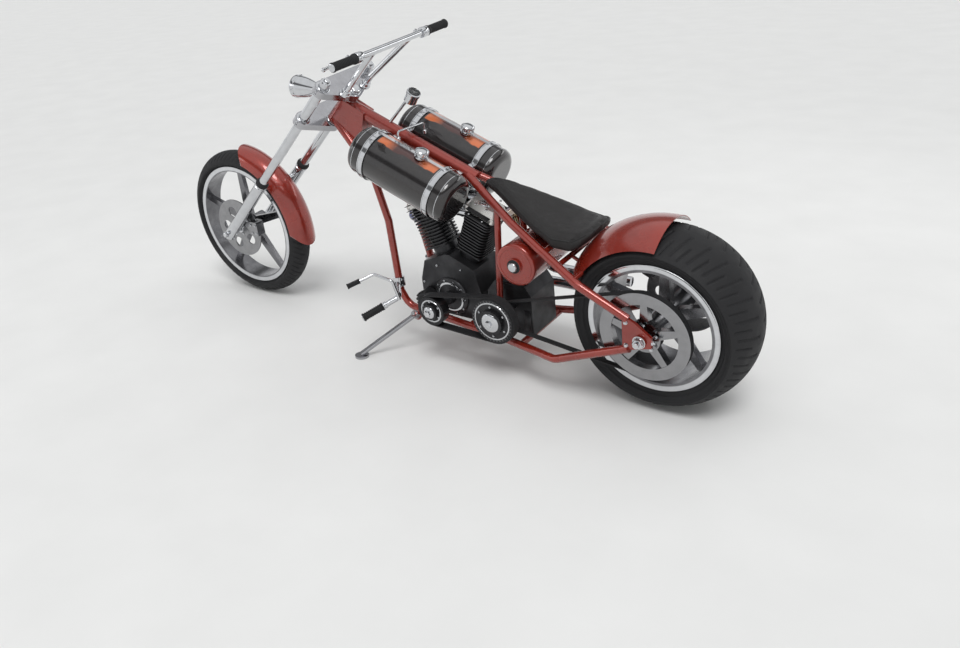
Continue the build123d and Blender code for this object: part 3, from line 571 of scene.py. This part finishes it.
def make_tyre(name, node, axle, outer, half, shoulder, bead_half, lip, body, pitches, groove):
    """Tyre with a cut tread on its crown and moulded rings on its walls."""
    drop = outer - shoulder
    bend = (half * half + drop * drop) / (2 * drop)
    centre = outer - bend
    reach = asin(half / bend) * 0.985
    edge_y, edge_r = sin(reach) * bend, centre + cos(reach) * bend
    bead = (bead_half, lip - 8)
    wall = [(edge_y + (bead_half - edge_y) * share + swell_by + ridge,
             edge_r + (lip + 1.5 - edge_r) * share) for share, swell_by, ridge in wall_steps]
    crown = [(sin(a) * bend, centre + cos(a) * bend)
             for a in np.linspace(-reach, reach, int(half * 0.62))[1:-1]]
    across = np.array([(-y, r) for y, r in reversed(wall + [bead])] + crown + wall + [bead])
    count = len(across)
    t_grid, k_grid = np.meshgrid(np.arange(tyre_points) / tyre_points, np.arange(count), indexing="ij")
    y, r = across[k_grid, 0], across[k_grid, 1]
    away = np.abs(y / half)
    phase = t_grid * pitches + np.where(y > 0, 0, 0.5) + 0.55 * away ** 1.3
    pitch = 2 * pi * outer / pitches
    long_cuts = cuts(phase, pitch, groove * 0.5, away, (0.1, 0.14), (0.8, 0.88))
    short_cuts = cuts(phase + 0.5, pitch, groove * 0.35, away, (0.42, 0.47), (0.86, 0.93))
    on_crown = (r > edge_r) & (np.abs(y) < edge_y)
    r = r - np.where(on_crown, np.maximum(long_cuts, short_cuts) * tread_depth, 0)
    angle = 2 * pi * t_grid
    points = np.stack([axle.x + r * np.cos(angle), y, axle.z + r * np.sin(angle)], -1).reshape(-1, 3)
    ring, along = np.arange(tyre_points)[:, None], np.arange(count - 1)[None, :]
    base = (ring * count + along).ravel()
    after = ((ring + 1) % tyre_points * count + along).ravel()
    made = bpy.data.meshes.new(name)
    made.from_pydata(points.tolist(), [], np.stack([base, after, after + 1, base + 1], -1).tolist())
    piece = place_piece(name, made, "tyre", body, 50)
    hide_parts(node)


def ribs(count, first, pitch, low, high, half_foot, half_top):
    """Profile of the ribs along a rubber."""
    profile = []
    for rib in range(count):
        at = first + rib * pitch
        profile += [(at - half_foot, low), (at - half_top, high), (at + half_top, high),
                    (at + half_foot, low)]
    return profile


def make_front_fork():
    """Leg caps, clamp screws, seals, foot plugs, axle nuts and the stem's nut and bearings."""
    shiny, dark = Form(), Form()
    for sign, side in both_sides:
        top = on_leg(leg_top, sign)
        shiny.lathe(top, up_fork, [(0, 21.5), (5, 22), (9, 19), (9, 13), (11, 12)])
        shiny.lathe(top, up_fork, [(9, 11), (16, 11), (17.5, 9), (17.5, 0)], 6)
        for t in (lower_tree_at, upper_tree_at):
            middle = on_leg(t, sign)
            for lift in (-8, 8):
                shiny.cap_screw(middle + up_fork * lift + side * 33.6, side, 6)
            shiny.lathe(middle + up_fork * (tree_thick / 2), up_fork,
                        [(0, 30), (1.6, 30), (3.2, 27), (3.2, 21)], 40)
        seal = on_leg(slider_top, sign)
        dark.lathe(seal, up_fork,
                   [(-6, 27.2), (-6, 29.5), (2, 30), (7, 28), (12, 25.5), (16, 22), (16, 20.6)], 40)
        shiny.lathe(seal, up_fork, [(-26, 27.1), (-25, 28.6), (-19, 28.6), (-18, 27.1)], 40)
        shiny.lathe(on_leg(-34, sign), -up_fork, [(0, 26.8), (3, 24), (3, 12), (0.5, 11), (0.5, 0)])
        for lift in (-18, 18):
            shiny.cap_screw(on_leg(lift, sign) + behind_fork * 26.4, behind_fork, 5.5)
        shiny.bolt(front_axle + side * 168, side, 13)
        shiny.bolt(on_leg(346, sign, 104), -side, 5)
    stem_top = on_stem(upper_tree_at + tree_thick / 2)
    shiny.lathe(stem_top, up_fork, [(0, 26), (3, 26), (4, 24), (4, 13.2)], 36)
    shiny.lathe(stem_top, up_fork, [(4, 21), (13, 21), (15, 18), (15, 0)], 6)
    for sign, side in both_sides:
        shiny.lathe(stem_top + side * 62, up_fork,
                    [(0, 21), (2, 22), (9, 22), (12, 19), (24, 18), (26, 16), (26, 12.8)], 36)
    for t, reach in ((lower_tree_at + tree_thick / 2 + 2, 1), (upper_tree_at - tree_thick / 2 - 2, -1)):
        shiny.lathe(on_stem(t), up_fork * reach, [(0, 33.5), (1.6, 34.5), (5, 34.5), (6, 33)], 48)
    shiny.done("fork_fittings", body="fork_body")
    dark.done("fork_seals", "grip_rubber", "fork_body")


def make_headlamp():
    """Rim with its screws, bowl with its bulb, and the bulged glass."""
    ahead = (lamp_nose - lamp_tail).normalized()
    rim, bowl, glass = Form(), Form(), Form()
    rim.lathe(lamp_nose, ahead, [(-16, 47.2), (-14, 49), (-4, 49.6), (3, 49), (7, 46.4), (7.4, 43.6),
                                 (4.5, 42.6), (1, 42.4)], 64)
    for side in spokes(3, 0, left, ahead.cross(left)):
        rim.cap_screw(lamp_nose + side * 49 - ahead * 8, side, 2.6)
    rim.lathe(lamp_tail, -ahead, [(-2, 12.5), (1, 13), (6, 10), (8, 5), (8, 0)])
    for sign, side in both_sides:
        rim.bolt(sided(sign, *lamp_pivot), side, 7)
    bowl.lathe(lamp_nose, ahead, [(0.4, 0), (0.4, 11), (0.8, 22), (1.9, 33), (3.6, 42.4)], 64)
    bowl.lathe(lamp_nose, ahead, [(0.5, 7), (3.2, 6.4), (4.4, 3.5), (4.6, 0)], 24)
    glass.lathe(lamp_nose, ahead, [(5, 43.4), (6.4, 43.2), (8.6, 36), (10.3, 26), (11.4, 13), (11.8, 0),
                                   (10, 0), (9.6, 13), (8.6, 26), (6.9, 36), (5, 42.2)], 64)
    rim.done("headlamp_rim", body="fork_body")
    bowl.done("headlamp_reflector", "reflector", "fork_body", "chrome")
    lens = glass.done("headlamp_glass", "glass", "fork_body", "clear_glass")
    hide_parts("headlamp_lens")


def make_handlebar():
    """Ribbed grips, bar ends, and the clamps, pivots and ball tips of the levers."""
    ribbed, shiny = Form(), Form()
    grip = [(0, bar_radius + 0.1), (0, 17.5), (2, 18.5), (5, 18.5), (7, 16.2)]
    grip += ribs(13, 11, 7.6, 15.4, 16.8, 2.6, 1.6)
    grip += [(110, 16.4), (114, 19), (121, 20.5), (125, 19.5), (125, bar_radius + 0.1)]
    for sign, side in both_sides:
        end = bar_middle + side * bar_half
        ribbed.lathe(end, -side, grip, 40)
        shiny.lathe(end, side, [(-3, 13.5), (0, 15.5), (2, 15.5), (4, 12), (4.5, 5), (4.5, 0)], 36)
        root = bar_middle + side * lever_root_y
        for lift in (-9, 9):
            shiny.cap_screw(root + left * lift - forward * 19.5, -forward, 4)
        shiny.lathe(root - left * 16, left,
                    [(-0.8, 14), (-0.8, 19.4), (1.2, 20.8), (30.8, 20.8), (32.8, 19.4), (32.8, 14)], 40)
        pivot = root + sided(sign, *lever_pivot)
        shiny.lathe(pivot - upward * 9, upward, [(0, 0), (0, 9), (1, 10), (17, 10), (18, 9), (18, 0)], 24)
        shiny.cap_screw(pivot + upward * 9, upward, 5)
        tip = root + sided(sign, *lever_tip)
        shiny.lathe(tip, side, [(0, 4), (2, 6.5), (6, 8.4), (10, 8.6), (14, 7), (16, 3.5), (16.4, 0)], 24)
    grips = ribbed.done("ribbed_grips", "grip_rubber", "fork_body")
    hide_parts("grips")
    shiny.done("handlebar_fittings", body="fork_body")


def rim_trim(form, axle, half, inner, lip, valve):
    """Bright rings on both edges of a rim, and the tyre's valve on its well."""
    for sign, side in both_sides:
        form.lathe(axle + side * half, side,
                   [(0, inner), (6.8, lip), (7.6, lip - 0.8), (7.6, lip - 2.8), (2.5, inner - 0.5)], 160)
    turn, well, off = valve
    form.lathe(axle + left * off + round_way(turn) * well, -round_way(turn),
               [(0, 6), (3, 6), (4, 3.4), (22, 3), (22, 4), (30, 4), (31, 0)], 14)


def make_wheel_fittings():
    """Hub screws, rim rings and valves of both wheels, and the teeth of the belt's pulley."""
    shiny = Form()
    shiny.screw_ring(front_axle + left * 83.1, left, 34, 5, 5, 0.3)
    for y, way in ((83, left), (-78, -left)):
        shiny.lathe(front_axle + left * y, way, [(0, 25), (1.2, 25), (2, 23.5), (2, 10)], 36)
    rim_trim(shiny, front_axle, 41.5, 288.5, 302.2, (1.9, 276, 0))
    shiny.done("front_wheel_fittings", body="front_wheel_body")
    shiny, teeth = Form(), Form()
    shiny.screw_ring(rear_axle - left * 154.1, -left, 42, 6, 5, 0.3)
    for out in spokes(5, pi / 2):
        shiny.bolt(rear_axle + left * 185.1 + out * 48, left, 6.5)
    rim_trim(shiny, rear_axle, 113.5, 229.5, 247.2, (2.5, 215, 60))
    teeth.block_ring(rear_axle + left * 163, left, 161.6, (4, 7, 25), 1, 66)
    shiny.done("rear_wheel_fittings", body="rear_wheel_body")
    teeth.done("rear_pulley_teeth", "polished", "rear_wheel_body")


def dress_cylinders(shiny, cast, dark):
    """Gaskets, rocker lids, screws and pushrod collars of both cylinders."""
    for sign in (1, -1):
        out = cylinder_out(sign)
        across = out.cross(left)
        axes = (left, across, out)
        top, base = crank + out * head_top, crank + out * cylinder_start
        for share in (0.55, 1):
            dark.block(top - out * (rocker_height * share), axes, (147.2, 105.2, 1.6), 0.4)
        for y, x in four_corners(50, 26):
            shiny.cap_screw(top + left * y + across * x, out, 5)
        for y, x in four_corners(71.06, 32):
            shiny.cap_screw(top - out * (rocker_height * 0.56 + 12) + left * y + across * x, left * y, 3.6)
        shiny.block(top - out, axes, (74, 40, 5), 2)
        for rib in range(4):
            shiny.block(top + out * 2 + across * (rib * 9 - 13.5), axes, (66, 3.2, 4), 1.2)
        for y in (14, -14):
            foot = crank + out * pushrod_foot - left * pushrod_off + across * y
            shiny.lathe(foot, out, [(0, 6.6), (0, 9.5), (3, 10), (12, 10), (14, 8), (20, 8), (21, 6.6)], 24)
            shiny.lathe(foot + out * pushrod_length, out,
                        [(0, 6.6), (1, 8.2), (9, 8.2), (10, 9.6), (18, 9.6), (18, 6.6)], 24)
        cast.block(base + out * 2, axes, (118, 118, 5), 2)
        for y, x in four_corners(44, 44):
            shiny.bolt(base + left * y + across * x + out * 4.5, out, 6.5)
        if sign > 0:
            # Flange where the front pipe leaves its head
            port = crank + out * 361 - across * 62
            shiny.lathe(port, -across, [(0.5, 21), (0.5, 31), (2, 32), (7, 32), (8, 31), (8, 21)], 40)
            for y in (25, -25):
                shiny.bolt(port + left * y - across * 8, -across, 5)


def dress_cases(shiny, cast, dark):
    """Covers, lids and screws of the crankcase, gearbox, oil filter and air cleaner."""
    # Left side: rotor cover and seam screws
    face = crank + left * 88
    cast.lathe(face, left, [(0, 82), (5, 82), (9, 79), (12, 70), (13, 40), (13, 27)], 72)
    shiny.lathe(face, left, [(12, 66), (14, 65.5), (14.5, 64), (14.5, 59), (14, 57.5), (12, 57)], 96)
    shiny.screw_ring(face + left * 11, left, 74, 4, 10)
    for x, z in ((-138, -76), (-138, -20), (-138, 30), (138, -76), (138, -20), (138, 40),
                 (-60, 128), (60, 128)):
        for sign, side in both_sides:
            shiny.cap_screw(crank + sided(sign, x, 88, z), side, 5)
    # Right side: gear cover with its round plate
    face = crank - left * 112
    cast.lathe(face, -left, [(0, 78), (3, 77), (6, 72), (6, 50)], 72)
    shiny.lathe(face, -left, [(5.5, 48), (6, 50), (9, 49), (12, 42), (14, 26), (14.6, 0)], 64)
    shiny.screw_ring(face - left * 5.5, -left, 64, 4.5, 8, 0.2)
    for turn in (0.6, 2.7):
        shiny.cap_screw(face + round_way(turn) * 39 - left * 12.4, -left, 3.5)
    # Oil filter: fluted end
    dark.block_ring(filter_end - left * 12, left, 38.2, (5, 7.5, 18), 1.8, 14)
    dark.lathe(filter_end, left, [(-1, 27), (1.2, 26), (1.2, 0)], 40)
    # Gearbox: lids, filler and screws
    cast.block(gearbox_top, square, (128, 150, 7), 3)
    for x in (-54, 0, 54):
        for y in (66, -66):
            shiny.cap_screw(gearbox_top + Vector((x, y, 3.5)), upward, 5)
    shiny.lathe(gearbox_top + Vector((30, 20, 3)), upward, [(0, 15), (6, 15), (8, 12), (8, 0)], 28)
    cast.lathe(gearbox_side, -left, [(0, 82), (6, 81), (10, 76), (12, 60), (12.5, 0)], 72)
    shiny.screw_ring(gearbox_side - left * 10, -left, 71, 5, 6, 0.4)
    cast.block((535, 85, 230), square, (30, 8, 90), 3)
    # Air cleaner: rim, two rings, middle bolt and seal
    shiny.lathe(cleaner_face + left * 14, -left, [(0, 66.2), (1, 68), (9, 68), (10, 66.2)], 96)
    for ring, sides in ((46, 72), (34, 64)):
        shiny.lathe(cleaner_face, -left,
                    [(-0.5, ring), (1.5, ring - 1), (1.5, ring - 5), (-0.5, ring - 6)], sides)
    shiny.bolt(cleaner_face, -left, 9)
    dark.lathe(cleaner_face + left * 46, -left, [(0, 60), (2, 66.6), (4, 66.6), (6, 60)], 72)


def make_engine():
    """Bright fittings, cast lids and dark gaskets of the whole engine."""
    shiny, cast, dark = Form(), Form(), Form()
    dress_cylinders(shiny, cast, dark)
    dress_cases(shiny, cast, dark)
    shiny.done("engine_fittings")
    cast.done("engine_lids", "engine_case")
    dark.done("engine_gaskets", "belt_rubber")


def make_primary():
    """Rings, hubs, nuts and screws of the two drums, and the clutch's teeth."""
    shiny, cut = Form(), Form()
    for middle, radius in ((crank, crank_pulley_radius), (gearbox_shaft, clutch_radius)):
        face = middle + left * primary_face
        hub = radius * 0.42
        ring = radius - 12
        shiny.lathe(face, left, [(-0.5, ring), (1, ring - 1), (1, ring - 6), (-0.5, ring - 7)], 96)
        shiny.lathe(face + left * 14, left,
                    [(-0.5, hub), (1, hub), (3, hub * 0.96), (6, hub * 0.8), (8, hub * 0.5),
                     (9, hub * 0.3)], 72)
        shiny.lathe(face + left * 22, left, [(0, 15), (8, 15), (10, 12), (10, 0)], 6)
        shiny.screw_ring(face, left, radius * 0.68, 4.5, 6, 0.5)
    cut.block_ring(gearbox_shaft + left * primary_face, left, 83, (9, 5, 2.4), 0.8, 36)
    shiny.done("primary_fittings")
    cut.done("clutch_teeth", "cut_metal", slot="polished")


def make_tank_fittings():
    """Fluted caps, strap edges and lugs, rolled seams, and the rod from tank to tank."""
    shiny = Form()
    strap_edge = [(0, 101), (0, 103), (0.8, 103.8), (2.4, 103.8), (3.2, 103), (3.2, 101)]
    for sign in (1, -1):
        middle, ahead, over = tank_axes(sign)
        cap = middle + ahead * -46 + over * (tank_radius + 20)
        shiny.lathe(cap, over, [(-17, 24), (-16, 27), (-12, 27), (-11, 21), (-2, 21), (-1, 24), (1, 25.5),
                                (9, 25.5), (12, 23), (14.5, 15), (15.5, 0)], 56)
        shiny.block_ring(cap + over * 5, over, 25.4, (2.4, 3, 7), 0.9, 24, ahead, left)
        lug = radians(218 if sign > 0 else -38)
        out, onward = round_way(lug, left, over), round_way(lug + pi / 2, left, over)
        for along in (-160, 160):
            strap = middle + ahead * along
            for edge in (-12.6, 9.4):
                shiny.lathe(strap + ahead * edge, ahead, strap_edge, 96)
            for step in (-9, 9):
                shiny.block(strap + out * 108 + onward * step, (ahead, out, onward), (18, 12, 6), 1.6)
            shiny.cap_screw(strap + out * 109 + onward * 12, onward, 4.5)
            shiny.lathe(strap + out * 109 - onward * 24, onward, [(0, 0), (0, 3), (36, 3), (36, 0)], 12)
        for seam in (-206.7, 204.3):
            shiny.lathe(middle + ahead * seam, ahead, [(0, 97.6), (0, 98.7), (2.4, 98.7), (2.4, 97.6)], 96)
    rod = [(1061, y, z) for y, z in ((92, 922), (92, 944), (89, 951), (82, 954), (-62, 941), (-69, 937),
                                     (-72, 930), (-72, 900))]
    shiny.tube(rod, 4.2, 16)
    for foot in (rod[0], rod[-1]):
        shiny.lathe(foot, upward, [(-4, 9), (9, 9), (11, 7), (11, 4)], 28)
    shiny.done("tank_fittings")


def make_gauge():
    """Rim, dial with plain marks and a needle, and the glass."""
    way = (gauge_face - gauge_back).normalized()
    high = left.cross(way)
    rest_turn, whole_turn, steps = -135, 270, 24
    shiny, dial, marks, glass = Form(), Form(), Form(), Form()
    shiny.lathe(gauge_face, way, [(-9, 26.2), (-8, 28.5), (2, 28.8), (4, 27.4), (4.4, 24.2), (1, 24)], 64)
    shiny.lathe(gauge_back, -way, [(0, 20), (4, 19), (9, 12), (10, 0)], 40)
    dial.lathe(gauge_face, way, [(0.3, 24.4), (0.4, 0)], 48)
    for step in range(steps + 1):
        out = round_way(radians(rest_turn + whole_turn * step / steps), high, left)
        size = 4.2 if step % 4 == 0 else 2.2
        marks.block(gauge_face + way * 0.7 + out * (22 - size / 2), (out, out.cross(way), way),
                    (size, 0.7, 0.3), 0.08)
    needle = round_way(radians(rest_turn + 7), high, left)
    marks.block(gauge_face + way * 1.5 + needle * 6, (needle, needle.cross(way), way), (19, 1, 0.4), 0.1)
    marks.lathe(gauge_face, way, [(0.6, 2.6), (2.2, 2.6), (2.6, 0)], 20)
    glass.lathe(gauge_face, way, [(2.6, 24.4), (3.4, 23), (4.6, 12), (5, 0), (4.2, 0), (3.8, 12),
                                  (2.6, 23.6)], 48)
    shiny.done("gauge_rim")
    dial.done("gauge_dial", "dial", slot="tank_paint")
    marks.done("gauge_marks", "marks", slot="steel")
    glass.done("gauge_glass", "glass", slot="clear_glass")


def make_frame_fittings():
    """Axle nuts, foot rubbers, the stand's bolt, the round tank's rings and cap, and brake screws."""
    shiny, dark, red = Form(), Form(), Form()
    peg = [(0, 12.2), (0, 17), (3, 18), (6, 15.5)] + ribs(9, 10, 9, 14.6, 16.6, 2.6, 1.4)
    peg += [(88, 15.5), (91, 18), (95, 18), (97, 16), (97, 12.2)]
    toe_peg = [(0, 7.1), (0, 10.5), (2, 11.5)] + ribs(5, 8, 9, 9.8, 11.5, 2.4, 1.2)
    toe_peg += [(52, 11.5), (55, 12.5), (57, 11), (57, 0)]
    for sign, side in both_sides:
        end = rear_axle + side * 228
        shiny.lathe(end, side, [(-11, 21), (-11, 23), (-9.5, 24), (-8, 24), (-7, 21)], 36)
        shiny.lathe(end, side, [(-7, 19.5), (7, 19.5), (9, 17), (9, 11)], 6)
        shiny.lathe(end + side * 18, side, [(-0.5, 10.8), (1, 9.5), (1, 0)], 20)
        for z in (404, 314):
            shiny.bolt(sided(sign, 52, 211.2, z), side, 7)
        adjuster = sided(sign, -42, 205, 342)
        shiny.lathe(adjuster, -forward, [(0, 5), (14, 5), (14, 0)], 16)
        shiny.lathe(adjuster, -forward, [(0, 8.5), (6, 8.5), (7, 7), (7, 5)], 6)
        # Foot controls: ribbed peg, toe peg and clamp screws
        end = sided(sign, *peg_end)
        run = (end - sided(sign, *peg_root)).normalized()
        dark.lathe(end - run * 96, run, peg, 32)
        shiny.lathe(end, run, [(-1, 14.5), (1, 15.5), (4, 14), (6, 8), (6.5, 0)])
        shiny.lathe(end - run * 112, run, [(0, 12.1), (1, 15), (12, 15), (13, 12.1)])
        end = sided(sign, *toe_peg_end)
        run = (end - sided(sign, *toe_peg_root)).normalized()
        dark.lathe(end - run * 54, run, toe_peg, 28)
        for z in (285, 311):
            shiny.cap_screw(sided(sign, 1132.2, 122.5, z), sided(sign, -1, 0.35, 0), 5)
        red.lathe(sided(sign, *round_tank_face), side,
                  [(-1.5, 73), (1.6, 72), (2.4, 69), (1.6, 66), (-0.5, 65)], 96)
    stand_face = stand_pivot + stand_axis * 16.2
    shiny.lathe(stand_face, stand_axis, [(0, 11), (1, 11.5), (1.6, 11)], 24)
    shiny.lathe(stand_face, stand_axis, [(1, 9.5), (6.5, 9.5), (8, 8), (8, 0)], 6)
    # Filler cap on the round tank under the seat
    shiny.lathe(round_tank_cap, left, [(0, 17), (3, 18), (9, 18), (12, 16), (14, 9), (14.6, 0)], 56)
    shiny.block_ring(round_tank_cap + left * 6, left, 17.9, (1.8, 2.6, 6), 0.7, 16)
    dark.lathe(round_tank_cap, left, [(-0.4, 27.5), (0.9, 27.5), (1.5, 26.5), (1.5, 17)], 56)
    # Rear caliper: screws and bleed screw
    for x, z in ((106, 410), (106, 434), (148, 410)):
        shiny.cap_screw((x, -172.2, z), -left, 5)
    shiny.lathe((128, -150, 452), upward, [(-6, 3), (6, 3), (8, 2), (8, 0)], 12)
    shiny.done("frame_fittings")
    dark.done("frame_rubbers", "grip_rubber")
    red.done("round_tank_rings", "frame_paint")


def make_front_brake():
    """Screws of the front caliper."""
    shiny = Form()
    for x in (-146, -116):
        for z in (0, 40):
            shiny.cap_screw(front_axle + Vector((x, 103.2, z)), left, 5)
    shiny.bolt(front_axle + Vector((-92, 103.2, 62)), left, 7)
    shiny.lathe(front_axle + Vector((-131, 80, 55)), upward, [(0, 3.2), (7, 3.2), (9, 2), (9, 0)], 12)
    shiny.done("front_brake_fittings", body="fork_body")


def seat_at(x):
    """Half width, top and bottom of the seat at a station, between the CAD source's sections."""
    x = min(max(x, seat_sections[0][0]), seat_sections[-1][0])
    for low, high in zip(seat_sections, seat_sections[1:]):
        if x <= high[0]:
            share = (x - low[0]) / (high[0] - low[0])
            return [a + (b - a) * share for a, b in zip(low[1:], high[1:])]


def rail_clear(point):
    """A point moved out of the upper rails, which run through the seat's underside."""
    for sign in (1, -1):
        for start, end in zip(upper_rail, upper_rail[1:]):
            a, b = sided(sign, *start), sided(sign, *end)
            share = min(max((point - a).dot(b - a) / (b - a).length_squared, 0), 1)
            near = a + (b - a) * share
            off = point - near
            if off.length < rail_reach:
                point = near + off.normalized() * rail_reach
    return point


def seat_rings():
    """Rounded sections along the seat, a little inside the CAD source's, with a dip to sit in."""
    room, steps, sides, rear_x, front_x = 4, 56, 44, 249, 718
    rings = []
    for i in range(steps + 1):
        x = rear_x + (front_x - rear_x) * i / steps
        half, top, bottom = seat_at(x)
        ease = min(1, (x - 245) / 26 + 0.25, (722 - x) / 20 + 0.3)
        half, high = (half - room) * ease ** 0.35, (top - bottom) / 2 - room * 0.7
        middle = (top + bottom) / 2 - 1.5
        dip = 7 * exp(-((x - 430) / 95) ** 2)
        ring = []
        for k in range(sides):
            a = 2 * pi * k / sides
            c, s = cos(a), sin(a)
            y = copysign(abs(c) ** 0.42, c) * half
            z = copysign(abs(s) ** 0.55, s) * high * (0.55 + 0.45 * ease)
            if s > 0:
                z -= (dip * 0.8 - 2) * (1 - (y / half) ** 2)
            ring.append(Vector((x, y, middle + z)))
        rings.append(ring)
    ends = [[sum(ring, Vector()) / len(ring)] for ring in (rings[0], rings[-1])]
    return [ends[0]] + rings + [ends[1]]


def leather_at(tree, place, way):
    """Point of the finished leather that is met from a place, or nothing."""
    hit = tree.ray_cast(stance @ Vector(place), way_of(way), 0.5)[0]
    return to_own @ hit if hit else None


def make_seat():
    """Padded leather seat: blown up a little from its form, then piped and stitched."""
    form = Form()
    form.skin(seat_rings())
    seat = form.done("seat_pad", "seat_cover", sharp=180)
    seat.parent = None
    swell(seat, voxel=0.0055, pressure=4, most=0.006)
    for point in seat.data.vertices:
        point.co = stance @ rail_clear(to_own @ point.co)
    rounding = seat.modifiers.new("rounding", "SUBSURF")
    rounding.levels = rounding.render_levels = 1
    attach(seat, "frame_body")
    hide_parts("seat")
    # Piping round the top and a stitched seam inside it, laid on the finished leather
    tree = BVHTree.FromObject(seat, bpy.context.evaluated_depsgraph_get())
    piping, thread = Form(), Form()
    stitch_pitch, stitch_lift, narrowest = 6.4, upward * 0.5, 8
    for sign in (1, -1):
        path = []
        for x in np.linspace(262, 706, 71):
            half, top, bottom = seat_at(x)
            at = leather_at(tree, (x, sign * (half + 40), top - (top - bottom) * 0.3), left * -sign)
            if at:
                path.append(at)
        piping.tube(path, 2.6, 12)
        for inset in (17, 23):
            last = None
            for x in np.linspace(268, 700, 240):
                half, top, bottom = seat_at(x)
                at = None
                if half - inset >= narrowest:
                    at = leather_at(tree, (x, sign * (half - inset - 5), top + 60), -upward)
                if at and last is None:
                    last = at
                elif at and (at - last).length > stitch_pitch:
                    run = (at - last).normalized()
                    thread.tube([last + run, last + run * 1.6 + stitch_lift, at - run * 1.6 + stitch_lift,
                                 at - run], 0.75, 6)
                    last = at
    piping.done("seat_piping", "piping", slot="seat_cover")
    thread.done("seat_stitches", "thread", slot="seat_cover")


def swell(piece, voxel, pressure, most):
    """Remeshes a soft form and blows it up with a cloth run, each point held to a small way."""
    bpy.context.view_layer.objects.active = piece
    remesh = piece.modifiers.new("remesh", "REMESH")
    remesh.mode, remesh.voxel_size = "VOXEL", voxel
    apply_modifiers(piece)
    start = np.empty(len(piece.data.vertices) * 3, np.float32)
    piece.data.vertices.foreach_get("co", start)
    cloth = piece.modifiers.new("cloth", "CLOTH").settings
    cloth.use_pressure, cloth.uniform_pressure_force = True, pressure
    cloth.effector_weights.gravity = 0
    cloth.mass, cloth.tension_stiffness, cloth.compression_stiffness = 0.3, 18, 18
    for step in range(1, 21):
        scene.frame_set(step)
    apply_modifiers(piece)
    scene.frame_set(1)
    end = np.empty_like(start)
    piece.data.vertices.foreach_get("co", end)
    way = (end - start).reshape(-1, 3)
    length = np.linalg.norm(way, axis=1, keepdims=True)
    way *= np.minimum(1, most / np.maximum(length, 1e-9))
    piece.data.vertices.foreach_set("co", (start.reshape(-1, 3) + way).ravel())
    piece.data.update()
    piece.data.shade_smooth()


def apply_modifiers(piece):
    """Puts what the modifiers make in place of the piece's own mesh."""
    depsgraph = bpy.context.evaluated_depsgraph_get()
    made = bpy.data.meshes.new_from_object(piece.evaluated_get(depsgraph), depsgraph=depsgraph)
    piece.modifiers.clear()
    piece.data = made


make_camera()
make_floor()

# Finish, slot or name, values
shared = [(gloss_paint, "frame_paint", (0.26, 0.019, 0.008), (0.16, 0.01, 0.005)),
          (tank_lacquer, "tank_paint", 1),
          (cast_metal, "engine_case", (0.06, 0.06, 0.064), (0.28, 0.46), 1400, 0.00006),
          (chrome, "polished", dark_steel, (0.12, 0.24)),
          (cast_metal, "cut_metal", (0.16, 0.16, 0.165), (0.25, 0.4), 1600, 0.00003),
          (chrome, "chrome", (0.66, 0.67, 0.69), (0.03, 0.1)),
          (turned_metal, "steel", rear_axle),
          (rubber, "belt_rubber", black_rubber, 900, 0.0001),
          (rubber, "grip_rubber", black_rubber, 1100, 0.00012),
          (rubber, "tyre", (0.009, 0.009, 0.01), 700, 0.00015),
          (leather, "seat_cover", (0.008, 0.007, 0.007)),
          (clear_glass, "clear_glass"),
          (clear_glass, "glass"),
          (chrome, "reflector", (0.86, 0.87, 0.88), (0.02, 0.06)),
          (printed, "dial", (0.02, 0.02, 0.022), 0.35, 300),
          (printed, "marks", (0.8, 0.8, 0.78), 0.45, 500),
          (printed, "thread", (0.03, 0.028, 0.028), 0.6, 3000),
          (leather, "piping", (0.006, 0.006, 0.006))]
materials = {name: finish(name, *values) for finish, name, *values in shared}
for part in frame["record"]["subparts"]:
    paint_node(part["node"], materials[part["material_slot"]])
# Finish, node that has it to itself, values
own = [(tank_lacquer, "right_tank", -1),
       (wheel_metal, "front_wheel", front_axle, 301),
       (wheel_metal, "rear_wheel", rear_axle, 246),
       (cast_metal, "primary_pulleys", black_case, (0.22, 0.4), 1600, 0.00003),
       (turned_metal, "front_brake_disc", front_axle),
       (chrome, "side_stand", (0.42, 0.42, 0.44), (0.1, 0.2)),
       (chrome, "lower_tree", tree_tint, (0.06, 0.16)),
       (chrome, "upper_tree", tree_tint, (0.06, 0.16)),
       (head_metal, "front_head", 1),
       (head_metal, "rear_head", -1),
       (hot_chrome, "front_exhaust", (1092, 0, 578)),
       (hot_chrome, "rear_exhaust", (760, -62, 601))]
for finish, node, *values in own:
    paint_node(node, finish(node, *values))

make_tyre("front_road_tyre", "front_tyre", front_axle, outer=368, half=62, shoulder=318, bead_half=41,
          lip=301, body="front_wheel_body", pitches=38, groove=5)
make_tyre("rear_road_tyre", "rear_tyre", rear_axle, outer=340, half=145, shoulder=290, bead_half=113,
          lip=246, body="rear_wheel_body", pitches=30, groove=6.5)
make_wheel_fittings()
make_front_fork()
make_headlamp()
make_handlebar()
make_front_brake()
make_engine()
make_primary()
make_tank_fittings()
make_gauge()
make_frame_fittings()
make_seat()

scene.view_settings.view_transform = "Standard"
